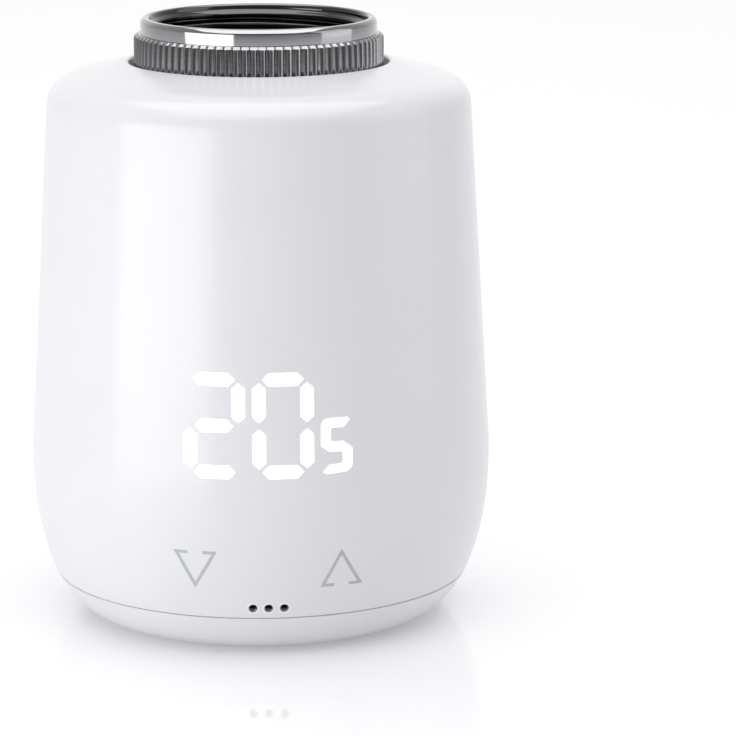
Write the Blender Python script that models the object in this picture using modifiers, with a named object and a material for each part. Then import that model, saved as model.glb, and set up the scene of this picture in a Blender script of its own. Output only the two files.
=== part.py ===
"""Electronic radiator thermostat head: a battery-driven head with a hidden display and a union nut.

The head stands on its end cap, with the union nut on top. The origin is at the middle of the foot,
+Z runs up the valve axis, and the display faces -Y. Lengths below are in millimetres, and MM turns
them into metres.
"""

import math

import bmesh
import bpy
from mathutils import Matrix

MM = 0.001

# Outer form
TOTAL_HEIGHT = 83.4
FOOT_RADIUS = 22.0
WAIST = (31.9, 27.0)  # radius and height where the straight wall meets the rounded foot
SHOULDER = (29.3, 71.4)  # where the straight wall meets the rounded shoulder
CROWN_EDGE = (24.0, 76.0)  # where the rounded shoulder meets the low crown
CROWN_LIP = (18.3, 77.4)  # the crown's inner lip, round the nut's pot
WALL = 2.0
ROUND_STEPS = 40

# Seam between the shell and the end cap
SEAM_Z = 5.8
SEAM_GAP = 0.3
SHELL_MOUTH_RADIUS = 26.6
SHELL_MOUTH_Z = 9.7
SPIGOT_RADIUS = 26.3
SPIGOT_TOP_Z = 9.0
CAP_FLOOR_Z = 2.2

# Valve connection: an M30 x 1.5 union nut, turning in a pot in the crown, on a fixed neck
POT_RADIUS = 17.9
POT_FLOOR_Z = 72.0
POT_FLOOR_THICKNESS = 1.1
NUT_BOTTOM_Z = 72.4
NUT_FLANGE_TOP_Z = 73.9
NUT_FLANGE_BORE_RADIUS = 12.4
KNURL_TOP_Z = 81.2
KNURL_RADIUS = 17.2
KNURL_TEETH = 88
KNURL_DEPTH = 0.45
RIM_RADIUS = 16.3
THREAD_MINOR_RADIUS = 14.2
THREAD_MAJOR_RADIUS = 15.05
THREAD_PITCH = 1.5
THREAD_DEPTH_SHARE = 0.92
SEAT_Z = 75.6
SEAT_RADIUS = 13.3
NECK_RADIUS = 12.0
NECK_FLANGE_RADIUS = 13.7
NECK_BORE_RADIUS = 9.4

# Screws that hold the neck to the gearbox cover, and the cover to the deck
NECK_SCREW_PLACE_RADIUS = 7.3
NECK_SCREW_ANGLES = (90, 210, 330)
COVER_SCREW_PLACE_RADIUS = 21.9
COVER_SCREW_ANGLES = (70, 245, 340)
SCREW_SHANK_RADIUS = 0.9
SCREW_HEAD_RADIUS = 1.7
SCREW_HEAD_HEIGHT = 1.1

# Gear train
MODULE = 0.5
PINION_TEETH = 10
IDLER_TEETH = 34
DRIVE_TEETH = 44
PRESSURE_ANGLE = math.radians(20)
BACKLASH = 0.14
PINION_ADDENDUM = 0.55
PINION_DEDENDUM = 0.42
WHEEL_ADDENDUM = 0.30
WHEEL_DEDENDUM = 0.67
GEAR_THICKNESS = 1.7
DRIVE_GEAR_THICKNESS = 2.2
LEVELS = [60.1, 62.2, 64.3, 66.4]  # undersides of the four gear layers
THIRD_IDLER_ANGLE = 100.0
SECOND_IDLER_PLACE_RADIUS = 14.0
FIRST_IDLER_PLACE_RADIUS = 14.5
MOTOR_HEADING = -28.0  # from the first idler to the motor
AXLE_RADIUS = 0.9
AXLE_Z = (58.3, 70.0)

# Lead screw and push rod
SCREW_RADIUS = 2.4
SCREW_TIP_RADIUS = 1.55
SCREW_SHOULDER_Z = 69.7
SCREW_TIP_Z = 72.1
SCREW_BOTTOM_Z = 60.8
ROD_Z = (69.9, 73.8)
ROD_RADIUS = 4.4
ROD_HALF_WIDTH = 3.5
ROD_CLEARANCE = 0.25
PUSH_ROD_HOLE_RADIUS = 5.3

# Chassis and gearbox cover
FRAME_RADIUS = 25.3
CHASSIS_FOOT_Z = (9.9, 11.5)
DECK_Z = 57.8
DECK_THICKNESS = 1.8
DECK_TOP_Z = DECK_Z + DECK_THICKNESS
THRUST_POST_RADIUS = 4.3
THRUST_POST_TOP_Z = 65.7
COVER_WALL = 1.4
COVER_Z = (59.9, 70.6)
COVER_CEILING_Z = 69.4

# Motor
MOTOR_RADIUS = 7.8
MOTOR_WALL = 0.7
MOTOR_Z = (33.2, 57.4)
MOTOR_BOSS_RADIUS = 2.5
MOTOR_BOSS_TOP_Z = 58.9
MOTOR_SCREW_X = 5.8
SHAFT_RADIUS = 0.75
SHAFT_Z = (30.9, 61.9)
MAGNET_RADII = (5.15, 6.75)
MAGNET_Z = (37.0, 54.0)
ARMATURE_RADIUS = 4.8
ARMATURE_Z = (38.0, 53.0)

# Batteries and their contacts
CELL_RADIUS = 7.1
CELL_LENGTH = 50.2
CELL_NUB_RADIUS = 2.7
CELL_NUB_HEIGHT = 1.2
CELL_X = 7.9
CELL_Y = 13.5
CELL_1_BOTTOM_Z = 6.5
CELL_2_BOTTOM_Z = 3.3
TUBE_WALL = 1.5
CONTACT_Z = (57.0, 57.35)
CONTACT_HALF_WIDTH = 3.0
BRIDGE_Z = (2.5, 2.9)
CONTACT_WIRE_RADIUS = 0.3

# Boards
BOARD_Y = -17.5
BOARD_THICKNESS = 1.6
BOARD_FRONT_Y = BOARD_Y - BOARD_THICKNESS
BOARD_HALF_WIDTH = 16.2
BOARD_Z = (12.2, 56.9)
PART_GAP = 0.3
LEAD_RADIUS = 0.45

# Display, keys and vents, as seen from the front
DISPLAY_Z = (24.0, 41.8)
DISPLAY_HALF_WIDTH = 13.2
DIGIT_BOTTOM_Z = 25.8
DIGIT_HEIGHT = 14.2
DIGIT_WIDTH = 8.2
DIGIT_LEFT = [-11.2, -2.1]
SEGMENT_WIDTH = 1.9
SEGMENT_GAP = 0.35
FILM_BEHIND_SKIN = (1.3, 1.6)
MASK_BEHIND_SKIN = 1.75
KEY_X = 9.45
KEY_Z = 13.9
VENT_Z = 7.4
VENT_RADIUS = 0.6
VENT_PITCH = 2.1


# ---------------------------------------------------------------- shaping helpers


def clear_scene():
    for obj in list(bpy.data.objects):
        bpy.data.objects.remove(obj)


def new_collection(name):
    collection = bpy.data.collections.new(name)
    bpy.context.scene.collection.children.link(collection)
    return collection


def make_material(name, colour, roughness, metallic=0.0):
    material = bpy.data.materials.new(name)
    material.use_nodes = True
    shader = material.node_tree.nodes["Principled BSDF"]
    shader.inputs["Base Color"].default_value = (*colour, 1.0)
    shader.inputs["Roughness"].default_value = roughness
    shader.inputs["Metallic"].default_value = metallic
    return material


def add_object(name, data, material, helper=False):
    """Links new object data, as a part or as a hidden cutter."""
    obj = bpy.data.objects.new(name, data)
    (CUTTERS if helper else PARTS).objects.link(obj)
    if material:
        data.materials.append(material)
    if helper:
        hide(obj)
    return obj


def hide(obj):
    obj.hide_render = True
    obj.display_type = "WIRE"


def smooth(mesh, angle=30):
    mesh.shade_smooth()
    mesh.set_sharp_from_angle(angle=math.radians(angle))


def turned(name, profile, material=None, steps=32, closed=False, at=(0, 0), helper=False):
    """A turned solid about Z, from (radius, z) points that run down its outer side."""
    mesh = bpy.data.meshes.new(name)
    points = [(r * MM, 0, z * MM) for r, z in profile]
    edges = [(i, i + 1) for i in range(len(points) - 1)]
    if closed:
        edges.append((len(points) - 1, 0))
    mesh.from_pydata(points, edges, [])
    obj = add_object(name, mesh, material, helper)
    obj.location = (at[0] * MM, at[1] * MM, 0)
    screw = obj.modifiers.new("Screw", "SCREW")
    screw.axis = "Z"
    screw.steps = steps
    screw.render_steps = steps
    screw.use_merge_vertices = True
    screw.merge_threshold = 0.00001
    screw.use_smooth_shade = True
    return obj


def cylinder(name, radius, z0, z1, material=None, at=(0, 0), sides=24, helper=False, top=None):
    """A cylinder or, with a top radius, a cone between two heights."""
    bm = bmesh.new()
    bmesh.ops.create_cone(
        bm,
        cap_ends=True,
        segments=sides,
        radius1=radius * MM,
        radius2=(radius if top is None else top) * MM,
        depth=(z1 - z0) * MM,
    )
    bmesh.ops.translate(bm, verts=bm.verts, vec=(0, 0, (z0 + z1) / 2 * MM))
    mesh = bpy.data.meshes.new(name)
    bm.to_mesh(mesh)
    bm.free()
    smooth(mesh)
    obj = add_object(name, mesh, material, helper)
    obj.location = (at[0] * MM, at[1] * MM, 0)
    return obj


def block(name, x, y, z, material=None, helper=False, bevel=0.0):
    """A box from (low, high) pairs along each axis, with optional bevelled edges."""
    bm = bmesh.new()
    bmesh.ops.create_cube(bm, size=1.0)
    size = [(high - low) * MM for low, high in (x, y, z)]
    middle = [(high + low) / 2 * MM for low, high in (x, y, z)]
    bmesh.ops.scale(bm, verts=bm.verts, vec=size)
    bmesh.ops.translate(bm, verts=bm.verts, vec=middle)
    mesh = bpy.data.meshes.new(name)
    bm.to_mesh(mesh)
    bm.free()
    obj = add_object(name, mesh, material, helper)
    if bevel:
        modifier = obj.modifiers.new("Bevel", "BEVEL")
        modifier.width = bevel * MM
        modifier.segments = 1
    return obj


def plate(name, outlines, z0, z1, material=None, helper=False, front=False, at=(0, 0)):
    """A flat plate from closed outlines: the first is its edge and the others are holes.

    With front set, the outlines lie in the X-Z plane, and z0 and z1 are distances along Y.
    """
    curve = bpy.data.curves.new(name, "CURVE")
    curve.dimensions = "2D"
    curve.fill_mode = "BOTH"
    curve.extrude = (z1 - z0) / 2 * MM
    for outline in outlines:
        spline = curve.splines.new("POLY")
        spline.points.add(len(outline) - 1)
        for point, (x, y) in zip(spline.points, outline):
            point.co = (x * MM, y * MM, 0, 1)
        spline.use_cyclic_u = True
    middle = (z0 + z1) / 2 * MM
    place = Matrix.Translation((0, 0, middle))
    if front:
        place = Matrix.Translation((0, middle, 0)) @ Matrix.Rotation(math.pi / 2, 4, "X")
    obj = meshed(name, curve, material, helper, place)
    obj.location = (at[0] * MM, at[1] * MM, 0)
    return obj


def meshed(name, curve, material, helper, place=None):
    """A curve made into a closed mesh object, its caps welded to its sides."""
    source = bpy.data.objects.new(name + "_curve", curve)
    PARTS.objects.link(source)
    graph = bpy.context.evaluated_depsgraph_get()
    mesh = bpy.data.meshes.new_from_object(source.evaluated_get(graph))
    bpy.data.objects.remove(source)
    bm = bmesh.new()
    bm.from_mesh(mesh)
    bmesh.ops.remove_doubles(bm, verts=bm.verts, dist=0.000001)
    if place:
        bmesh.ops.transform(bm, matrix=place, verts=bm.verts)
    bm.to_mesh(mesh)
    bm.free()
    mesh.name = name
    smooth(mesh)
    return add_object(name, mesh, material, helper)


def wire(name, points, radius, material, sides_step=1, helper=False, radii=None):
    """A round wire through points, with filled caps. Optional radii scale it at each point."""
    curve = bpy.data.curves.new(name, "CURVE")
    curve.dimensions = "3D"
    curve.bevel_depth = radius * MM
    curve.bevel_resolution = sides_step
    curve.use_fill_caps = True
    spline = curve.splines.new("POLY")
    spline.points.add(len(points) - 1)
    for i, (x, y, z) in enumerate(points):
        spline.points[i].co = (x * MM, y * MM, z * MM, 1)
        spline.points[i].radius = radii[i] if radii else 1.0
    return meshed(name, curve, material, helper)


def boolean(obj, other, operation):
    hide(other)
    if other.name in PARTS.objects:
        PARTS.objects.unlink(other)
        CUTTERS.objects.link(other)
    modifier = obj.modifiers.new(operation.title(), "BOOLEAN")
    modifier.operation = operation
    modifier.object = other


def cut(obj, *cutters):
    for cutter in cutters:
        boolean(obj, cutter, "DIFFERENCE")


def join(obj, *others):
    for other in others:
        boolean(obj, other, "UNION")


def keep(obj, other):
    boolean(obj, other, "INTERSECT")


def polar(radius, degrees):
    angle = math.radians(degrees)
    return radius * math.cos(angle), radius * math.sin(angle)


def circle(radius, sides):
    return [polar(radius, 360 * i / sides) for i in range(sides)]


def ring(name, inner, outer, z0, z1, material, steps=32, at=(0, 0)):
    profile = [(inner, z1), (outer, z1), (outer, z0), (inner, z0)]
    return turned(name, profile, material, steps, closed=True, at=at)


def bore(obj, name, radius, z0, z1, at=(0, 0), sides=12, top=None):
    """Cuts an upright round or tapered hole."""
    cut(obj, cylinder(name, radius, z0, z1, at=at, sides=sides, top=top, helper=True))


def spots(radius, angles):
    """(number, place) for each of the screws set round the axis."""
    return [(i, polar(radius, angle)) for i, angle in enumerate(angles)]


def bezier(p0, p1, p2, p3, count):
    """Points of a cubic curve, both ends included."""
    points = []
    for i in range(count + 1):
        t = i / count
        weights = ((1 - t) ** 3, 3 * t * (1 - t) ** 2, 3 * t * t * (1 - t), t**3)
        points.append(blend(weights, (p0, p1, p2, p3)))
    return points


def blend(weights, points):
    return tuple(sum(w * value for w, value in zip(weights, values)) for values in zip(*points))


def smooth_route(points, per_span):
    """A smooth line through a wire's own points, as Catmull-Rom spans."""
    padded = [points[0], *points, points[-1]]
    route = []
    for a, b, c, d in zip(padded, padded[1:], padded[2:], padded[3:]):
        for i in range(per_span):
            t = i / per_span
            weights = (
                (-t + 2 * t**2 - t**3) / 2,
                (2 - 5 * t**2 + 3 * t**3) / 2,
                (t + 4 * t**2 - 3 * t**3) / 2,
                (-(t**2) + t**3) / 2,
            )
            route.append(blend(weights, (a, b, c, d)))
    return [*route, points[-1]]


# ---------------------------------------------------------------- outer form


def foot_curve(count):
    """The rounded foot, from the straight wall down to the floor."""
    return bezier(WAIST, (33.0, 13.6), (29.3, 0.5), (FOOT_RADIUS, 0.0), count)


def radius_at(z, curve):
    """The radius of a (radius, z) curve that runs downwards, at one height."""
    for (r0, z0), (r1, z1) in zip(curve, curve[1:]):
        if z1 <= z <= z0:
            return r0 + (r1 - r0) * (z0 - z) / (z0 - z1)
    raise ValueError(f"the curve doesn't reach z = {z}")


def wall_radius(z):
    """The outer radius of the straight wall."""
    share = (z - WAIST[1]) / (SHOULDER[1] - WAIST[1])
    return WAIST[0] + share * (SHOULDER[0] - WAIST[0])


def crown():
    """The low crown and the rounded shoulder, from the nut's pot out to the straight wall."""
    return [CROWN_LIP, *bezier(CROWN_EDGE, (26.9, 75.4), (29.1, 74.5), SHOULDER, 4)]


def make_outer_shell():
    seam = SEAM_Z + SEAM_GAP / 2
    foot = [p for p in foot_curve(8) if p[1] > seam + 0.4]
    outer = [*crown(), *foot, (radius_at(seam, foot_curve(60)), seam)]
    mouth = [(SHELL_MOUTH_RADIUS, seam), (SHELL_MOUTH_RADIUS, SHELL_MOUTH_Z), (28.4, 11.2)]
    wall = [(WAIST[0] - WALL + 0.2, 19.0), (WAIST[0] - WALL, WAIST[1]), (SHOULDER[0] - WALL, 70.2)]
    ceiling = [(25.4, 73.0), (19.6, 74.5)]
    under_pot = POT_FLOOR_Z - POT_FLOOR_THICKNESS
    pot = [
        (POT_RADIUS + 1.6, under_pot),
        (PUSH_ROD_HOLE_RADIUS, under_pot),
        (PUSH_ROD_HOLE_RADIUS, POT_FLOOR_Z),
        (POT_RADIUS, POT_FLOOR_Z),
        (POT_RADIUS, CROWN_LIP[1] - 0.3),
    ]
    profile = [*outer, *mouth, *wall, *ceiling, *pot]
    shell = turned("outer_shell", profile, WHITE_SHELL, ROUND_STEPS, closed=True)
    for i in (-1, 0, 1):
        vent = cylinder(f"vent_cutter_{i + 2}", VENT_RADIUS, 22, 34, sides=12, helper=True)
        lying = Matrix.Rotation(math.pi / 2, 4, "X")
        vent.matrix_world = Matrix.Translation((i * VENT_PITCH * MM, 0, VENT_Z * MM)) @ lying
        cut(shell, vent)
    for i, spot in spots(NECK_SCREW_PLACE_RADIUS, NECK_SCREW_ANGLES):
        bore(shell, f"pot_hole_cutter_{i}", 1.2, under_pot - 0.9, POT_FLOOR_Z + 1, spot)
    cut(shell, display_space("display_recess_cutter", 13.6, (23.7, 42.1), -20.0, 1.1))
    return shell


def display_space(name, half_width, z, back_y, behind_wall):
    """The room behind the display window: a box whose front follows the shell, this far behind its skin."""
    space = block(name, (-half_width, half_width), (-33, back_y), z, helper=True)
    low, high = z[0] - 1, z[1] + 1
    cone = cylinder(
        name + "_front",
        wall_radius(low) - behind_wall,
        low,
        high,
        top=wall_radius(high) - behind_wall,
        sides=ROUND_STEPS,
        helper=True,
    )
    keep(space, cone)
    return space


def make_end_cap():
    """The cap that closes the foot. Its thin spigot slides up inside the shell's mouth."""
    seam = SEAM_Z - SEAM_GAP / 2
    foot = [p for p in foot_curve(9) if p[1] < seam - 0.3]
    inside = [(0, CAP_FLOOR_Z), (22.0, CAP_FLOOR_Z), (24.9, CAP_FLOOR_Z + 3.0), (24.9, SPIGOT_TOP_Z)]
    spigot = [(SPIGOT_RADIUS - 0.3, SPIGOT_TOP_Z), (SPIGOT_RADIUS, SPIGOT_TOP_Z - 0.3), (SPIGOT_RADIUS, seam)]
    outside = [(radius_at(seam, foot_curve(60)), seam), *foot, (0, 0)]
    cap = turned("end_cap", [*inside, *spigot, *outside], WHITE_SHELL, ROUND_STEPS)
    cut(cap, block("cap_notch_cutter", (-3.6, 3.6), (-28, -23), (6.3, 12), helper=True))
    return cap


def make_valve_neck():
    """The fixed neck that the union nut pulls against the valve, with a guide for the push rod."""
    flange_z = SEAT_Z - 1.3
    base_z = POT_FLOOR_Z + 0.3
    profile = [
        (0, SEAT_Z),
        (SEAT_RADIUS, SEAT_Z),
        (NECK_FLANGE_RADIUS, SEAT_Z - 0.4),
        (NECK_FLANGE_RADIUS, flange_z),
        (NECK_RADIUS, flange_z),
        (NECK_RADIUS, base_z),
        (0, base_z),
    ]
    neck = turned("valve_neck", profile, NECK_GREY, 36)
    bore(neck, "neck_hollow_cutter", NECK_BORE_RADIUS, base_z + 1.3, 77, sides=32)
    guide = double_d(ROD_RADIUS + ROD_CLEARANCE, ROD_HALF_WIDTH + ROD_CLEARANCE)
    cut(neck, plate("neck_guide_cutter", [guide], 71, 75, helper=True))
    for i, spot in spots(NECK_SCREW_PLACE_RADIUS, NECK_SCREW_ANGLES):
        bore(neck, f"neck_hole_cutter_{i}", 1.15, 71, 75, spot, sides=8)
    return neck


def double_d(radius, half_width, sides=24):
    """A circle with two flats across X, the section that stops the push rod from turning."""
    return [(max(-half_width, min(half_width, x)), y) for x, y in circle(radius, sides)]


def make_union_nut():
    """The knurled nut: a flange that catches the neck, and a threaded bore above it."""
    groove = THREAD_MINOR_RADIUS + (THREAD_MAJOR_RADIUS - THREAD_MINOR_RADIUS) * THREAD_DEPTH_SHARE
    thread_start = NUT_FLANGE_TOP_Z + THREAD_PITCH
    crests = int((TOTAL_HEIGHT - 0.8 - thread_start) / THREAD_PITCH)
    thread = []
    for i in range(crests):
        z = thread_start + i * THREAD_PITCH
        thread += [(groove, z), (THREAD_MINOR_RADIUS, z + THREAD_PITCH / 2)]
    base = NUT_BOTTOM_Z + 0.3
    profile = [
        (15.3, TOTAL_HEIGHT),
        (RIM_RADIUS - 0.3, TOTAL_HEIGHT),
        (RIM_RADIUS, TOTAL_HEIGHT - 0.3),
        (RIM_RADIUS, KNURL_TOP_Z - 3),
        (RIM_RADIUS, base),
        (NUT_FLANGE_BORE_RADIUS, base),
        (NUT_FLANGE_BORE_RADIUS, NUT_FLANGE_TOP_Z),
        (groove, NUT_FLANGE_TOP_Z),
        *thread,
        (groove, TOTAL_HEIGHT - 0.5),
    ]
    nut = turned("union_nut", profile, CHROME, 32, closed=True)
    ridges = []
    for i in range(KNURL_TEETH):
        ridges.append(polar(KNURL_RADIUS, 360 * i / KNURL_TEETH))
        ridges.append(polar(KNURL_RADIUS - KNURL_DEPTH, 360 * (i + 0.5) / KNURL_TEETH))
    inner_edge = circle(RIM_RADIUS - 0.6, 32)
    join(nut, plate("knurl_band", [ridges, inner_edge], NUT_BOTTOM_Z, KNURL_TOP_Z, helper=True))
    return nut


# ---------------------------------------------------------------- drive


def involute(angle):
    return math.tan(angle) - angle


def gear_outline(teeth, addendum, dedendum, flank_points, phase):
    """A spur gear's outline about its own centre. A tooth points along phase, in radians."""
    pitch_radius = MODULE * teeth / 2
    base_radius = pitch_radius * math.cos(PRESSURE_ANGLE)
    root_radius = pitch_radius - dedendum
    tip_radius = pitch_radius + addendum
    half_at_pitch = (math.pi * MODULE - BACKLASH) / (4 * pitch_radius)

    def half_angle(radius):
        local = math.acos(min(1.0, base_radius / max(radius, base_radius)))
        return half_at_pitch + involute(PRESSURE_ANGLE) - involute(local)

    steps = [i / (flank_points - 1) for i in range(flank_points)]
    radii = [root_radius + (tip_radius - root_radius) * share for share in steps]
    flank = [(radius, half_angle(radius)) for radius in radii]
    outline = []
    for tooth in range(teeth):
        middle = phase + 2 * math.pi * tooth / teeth
        outline += [(r * math.cos(middle - a), r * math.sin(middle - a)) for r, a in flank]
        outline += [(r * math.cos(middle + a), r * math.sin(middle + a)) for r, a in reversed(flank)]
    return outline


def pinion_outline(phase):
    return gear_outline(PINION_TEETH, PINION_ADDENDUM, PINION_DEDENDUM, 3, phase)


def wheel_outline(teeth, phase):
    return gear_outline(teeth, WHEEL_ADDENDUM, WHEEL_DEDENDUM, 2, phase)


def train_centres():
    """Centres of the motor and the three idlers, walked round the valve axis from the drive gear."""
    step = MODULE * (PINION_TEETH + IDLER_TEETH) / 2
    third_radius = MODULE * (PINION_TEETH + DRIVE_TEETH) / 2
    angle = THIRD_IDLER_ANGLE
    centres = [polar(third_radius, angle)]
    radius = third_radius
    for next_radius in (SECOND_IDLER_PLACE_RADIUS, FIRST_IDLER_PLACE_RADIUS):
        cosine = (radius**2 + next_radius**2 - step**2) / (2 * radius * next_radius)
        angle += math.degrees(math.acos(cosine))
        radius = next_radius
        centres.append(polar(radius, angle))
    third, second, first = centres
    toward_motor = polar(step, MOTOR_HEADING)
    motor = (first[0] + toward_motor[0], first[1] + toward_motor[1])
    return motor, first, second, third


def heading(a, b):
    return math.atan2(b[1] - a[1], b[0] - a[0])


def make_idler(name, number, centre, driver, driven):
    """A compound idler: a wheel driven by the pinion before it, and a pinion on top for the next wheel."""
    low = LEVELS[number - 1]
    gap_back = heading(centre, driver) + math.pi / IDLER_TEETH
    teeth = wheel_outline(IDLER_TEETH, gap_back)
    wheel = plate(name, [teeth], low, low + GEAR_THICKNESS, ACETAL_WHITE, at=centre)
    shaft = plate(
        name + "_pinion",
        [pinion_outline(heading(centre, driven))],
        low + GEAR_THICKNESS - 0.3,
        LEVELS[number] + GEAR_THICKNESS + (0.3 if number == 3 else 0.0),
        helper=True,
        at=centre,
    )
    join(wheel, shaft)
    bore(wheel, name + "_bore", AXLE_RADIUS + 0.25, 55, 75, centre)
    return wheel


def make_drive():
    motor, first, second, third = train_centres()
    make_idler("idler_gear_1", 1, first, motor, second)
    make_idler("idler_gear_2", 2, second, first, third)
    make_idler("idler_gear_3", 3, third, second, (0, 0))
    low = LEVELS[3]
    gap_back = heading((0, 0), third) + math.pi / DRIVE_TEETH
    teeth = wheel_outline(DRIVE_TEETH, gap_back)
    gear = plate("drive_gear", [teeth], low, low + DRIVE_GEAR_THICKNESS, ACETAL_WHITE)
    join(gear, cylinder("drive_hub", THRUST_POST_RADIUS, low + 0.5, 69.1, sides=20, helper=True))
    bore(gear, "drive_bore", SCREW_RADIUS + 0.3, 60, 75, sides=20)
    washer_z = THRUST_POST_TOP_Z + 0.25
    ring("thrust_washer", 2.9, THRUST_POST_RADIUS, washer_z, washer_z + 0.25, STEEL, 20)
    for number, centre in ((1, first), (2, second), (3, third)):
        cylinder(f"gear_axle_{number}", AXLE_RADIUS, *AXLE_Z, STEEL, at=centre, sides=12)


def make_push_rod():
    """The rod that presses the valve's pin, and the lead screw that carries it."""
    rod = plate("push_rod", [double_d(ROD_RADIUS, ROD_HALF_WIDTH)], *ROD_Z, ACETAL_WHITE)
    edge = rod.modifiers.new("Bevel", "BEVEL")
    edge.width = 0.25 * MM
    edge.segments = 1
    edge.angle_limit = math.radians(50)
    bore(rod, "rod_socket_cutter", SCREW_TIP_RADIUS + 0.2, 68, SCREW_TIP_Z + 0.2, sides=16)
    profile = [
        (0, SCREW_TIP_Z),
        (SCREW_TIP_RADIUS, SCREW_TIP_Z),
        (SCREW_TIP_RADIUS, SCREW_SHOULDER_Z),
        (SCREW_RADIUS, SCREW_SHOULDER_Z),
        (SCREW_RADIUS, SCREW_BOTTOM_Z + 0.5),
        (SCREW_RADIUS - 0.5, SCREW_BOTTOM_Z),
        (0, SCREW_BOTTOM_Z),
    ]
    turned("lead_screw", profile, STEEL, 20)


def make_gearbox_cover():
    """A shallow cup over the gears. It holds the axles' upper ends and carries the neck."""
    low, high = COVER_Z
    profile = [
        (0, high),
        (FRAME_RADIUS - 0.6, high),
        (FRAME_RADIUS, high - 0.6),
        (FRAME_RADIUS, low),
        (FRAME_RADIUS - COVER_WALL, low),
        (FRAME_RADIUS - COVER_WALL, COVER_CEILING_Z),
        (0, COVER_CEILING_Z),
    ]
    cover = turned("gearbox_cover", profile, FRAME_GREY, 32)
    for i, spot in spots(COVER_SCREW_PLACE_RADIUS, COVER_SCREW_ANGLES):
        join(cover, cylinder(f"cover_boss_{i}", 2.5, low, 69.9, at=spot, sides=10, helper=True))
        bore(cover, f"cover_boss_bore_{i}", 1.3, 58, 73, spot, sides=8)
    bore(cover, "cover_centre_bore", 5.2, 68, 72, sides=24)
    for i, centre in enumerate(train_centres()[1:]):
        bore(cover, f"cover_axle_seat_{i}", AXLE_RADIUS + 0.2, 68, AXLE_Z[1] + 0.2, centre)
    for i, spot in spots(NECK_SCREW_PLACE_RADIUS, NECK_SCREW_ANGLES):
        bore(cover, f"cover_neck_hole_{i}", 1.15, 68, 72, spot, sides=8)
    return cover


def make_chassis():
    """Foot plate, two battery tubes, and the deck that the motor and gears stand on."""
    chassis = cylinder("chassis", FRAME_RADIUS, DECK_Z, DECK_TOP_Z, FRAME_GREY, sides=32)
    join(chassis, cylinder("chassis_foot", FRAME_RADIUS, *CHASSIS_FOOT_Z, sides=32, helper=True))
    post_foot = DECK_TOP_Z - 0.6
    post = cylinder("thrust_post", THRUST_POST_RADIUS, post_foot, THRUST_POST_TOP_Z, sides=20, helper=True)
    join(chassis, post)
    for side in (-1, 1):
        add_battery_tube(chassis, side)
    for side in (-1, 1):
        cut_battery_space(chassis, side)
    for side, name in ((-1, "left"), (1, "right")):
        inner, outer = sorted((side * 15.2, side * 17.6))
        join(chassis, block(f"board_rail_{name}", (inner, outer), (-20.4, -16.3), (10.5, 58.5), helper=True))
    groove_y = (BOARD_FRONT_Y - PART_GAP, BOARD_Y + PART_GAP)
    groove_z = (BOARD_Z[0] - PART_GAP, BOARD_Z[1] + PART_GAP)
    cut(chassis, block("board_groove_cutter", (-16.5, 16.5), groove_y, groove_z, helper=True))
    motor = train_centres()[0]
    bore(chassis, "motor_boss_hole", MOTOR_BOSS_RADIUS + PART_GAP, 55, 62, motor, sides=16)
    for i, offset in enumerate((-MOTOR_SCREW_X, MOTOR_SCREW_X)):
        spot = (motor[0] + offset, motor[1])
        bore(chassis, f"motor_screw_hole_{i}", 1.1, 55, 62, spot, sides=8)
        bore(chassis, f"motor_screw_sink_{i}", 1.05, 58.0, 60.4, spot, sides=8, top=3.0)
    bore(chassis, "screw_well", SCREW_RADIUS + 0.5, 58.6, 70, sides=20)
    for i, centre in enumerate(train_centres()[1:]):
        bore(chassis, f"deck_axle_seat_{i}", AXLE_RADIUS + 0.2, AXLE_Z[0] - 0.2, 62, centre)
    for i, spot in spots(COVER_SCREW_PLACE_RADIUS, COVER_SCREW_ANGLES):
        bore(chassis, f"deck_screw_hole_{i}", 1.2, 58.2, 62, spot, sides=8)
    cut(chassis, block("sensor_notch", (-4, 4), (-27, -16.9), (9, 12.5), helper=True))
    return chassis


def add_battery_tube(chassis, side):
    """One of the two tubes. Their ends are staggered a little, so that the walls cross cleanly."""
    stagger = 0.1 * side
    low = CHASSIS_FOOT_Z[0] + 0.7 + stagger
    high = DECK_Z + 0.6 + stagger
    spot = (side * CELL_X, CELL_Y)
    radius = CELL_RADIUS + TUBE_WALL
    join(chassis, cylinder(f"battery_tube_{side}", radius, low, high, at=spot, sides=24, helper=True))


def cut_battery_space(chassis, side):
    """The bore for a cell, and the slot for the contact plate at its upper end."""
    spot = (side * CELL_X, CELL_Y)
    bore(chassis, f"battery_bore_{side}", CELL_RADIUS + 0.4, 5, DECK_Z - 0.1, spot, sides=24)
    slot_x = (side * CELL_X - CONTACT_HALF_WIDTH - 0.4, side * CELL_X + CONTACT_HALF_WIDTH + 0.4)
    cut(chassis, block(f"contact_slot_{side}", slot_x, (2, 9), (56.6, 57.5), helper=True))


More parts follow.
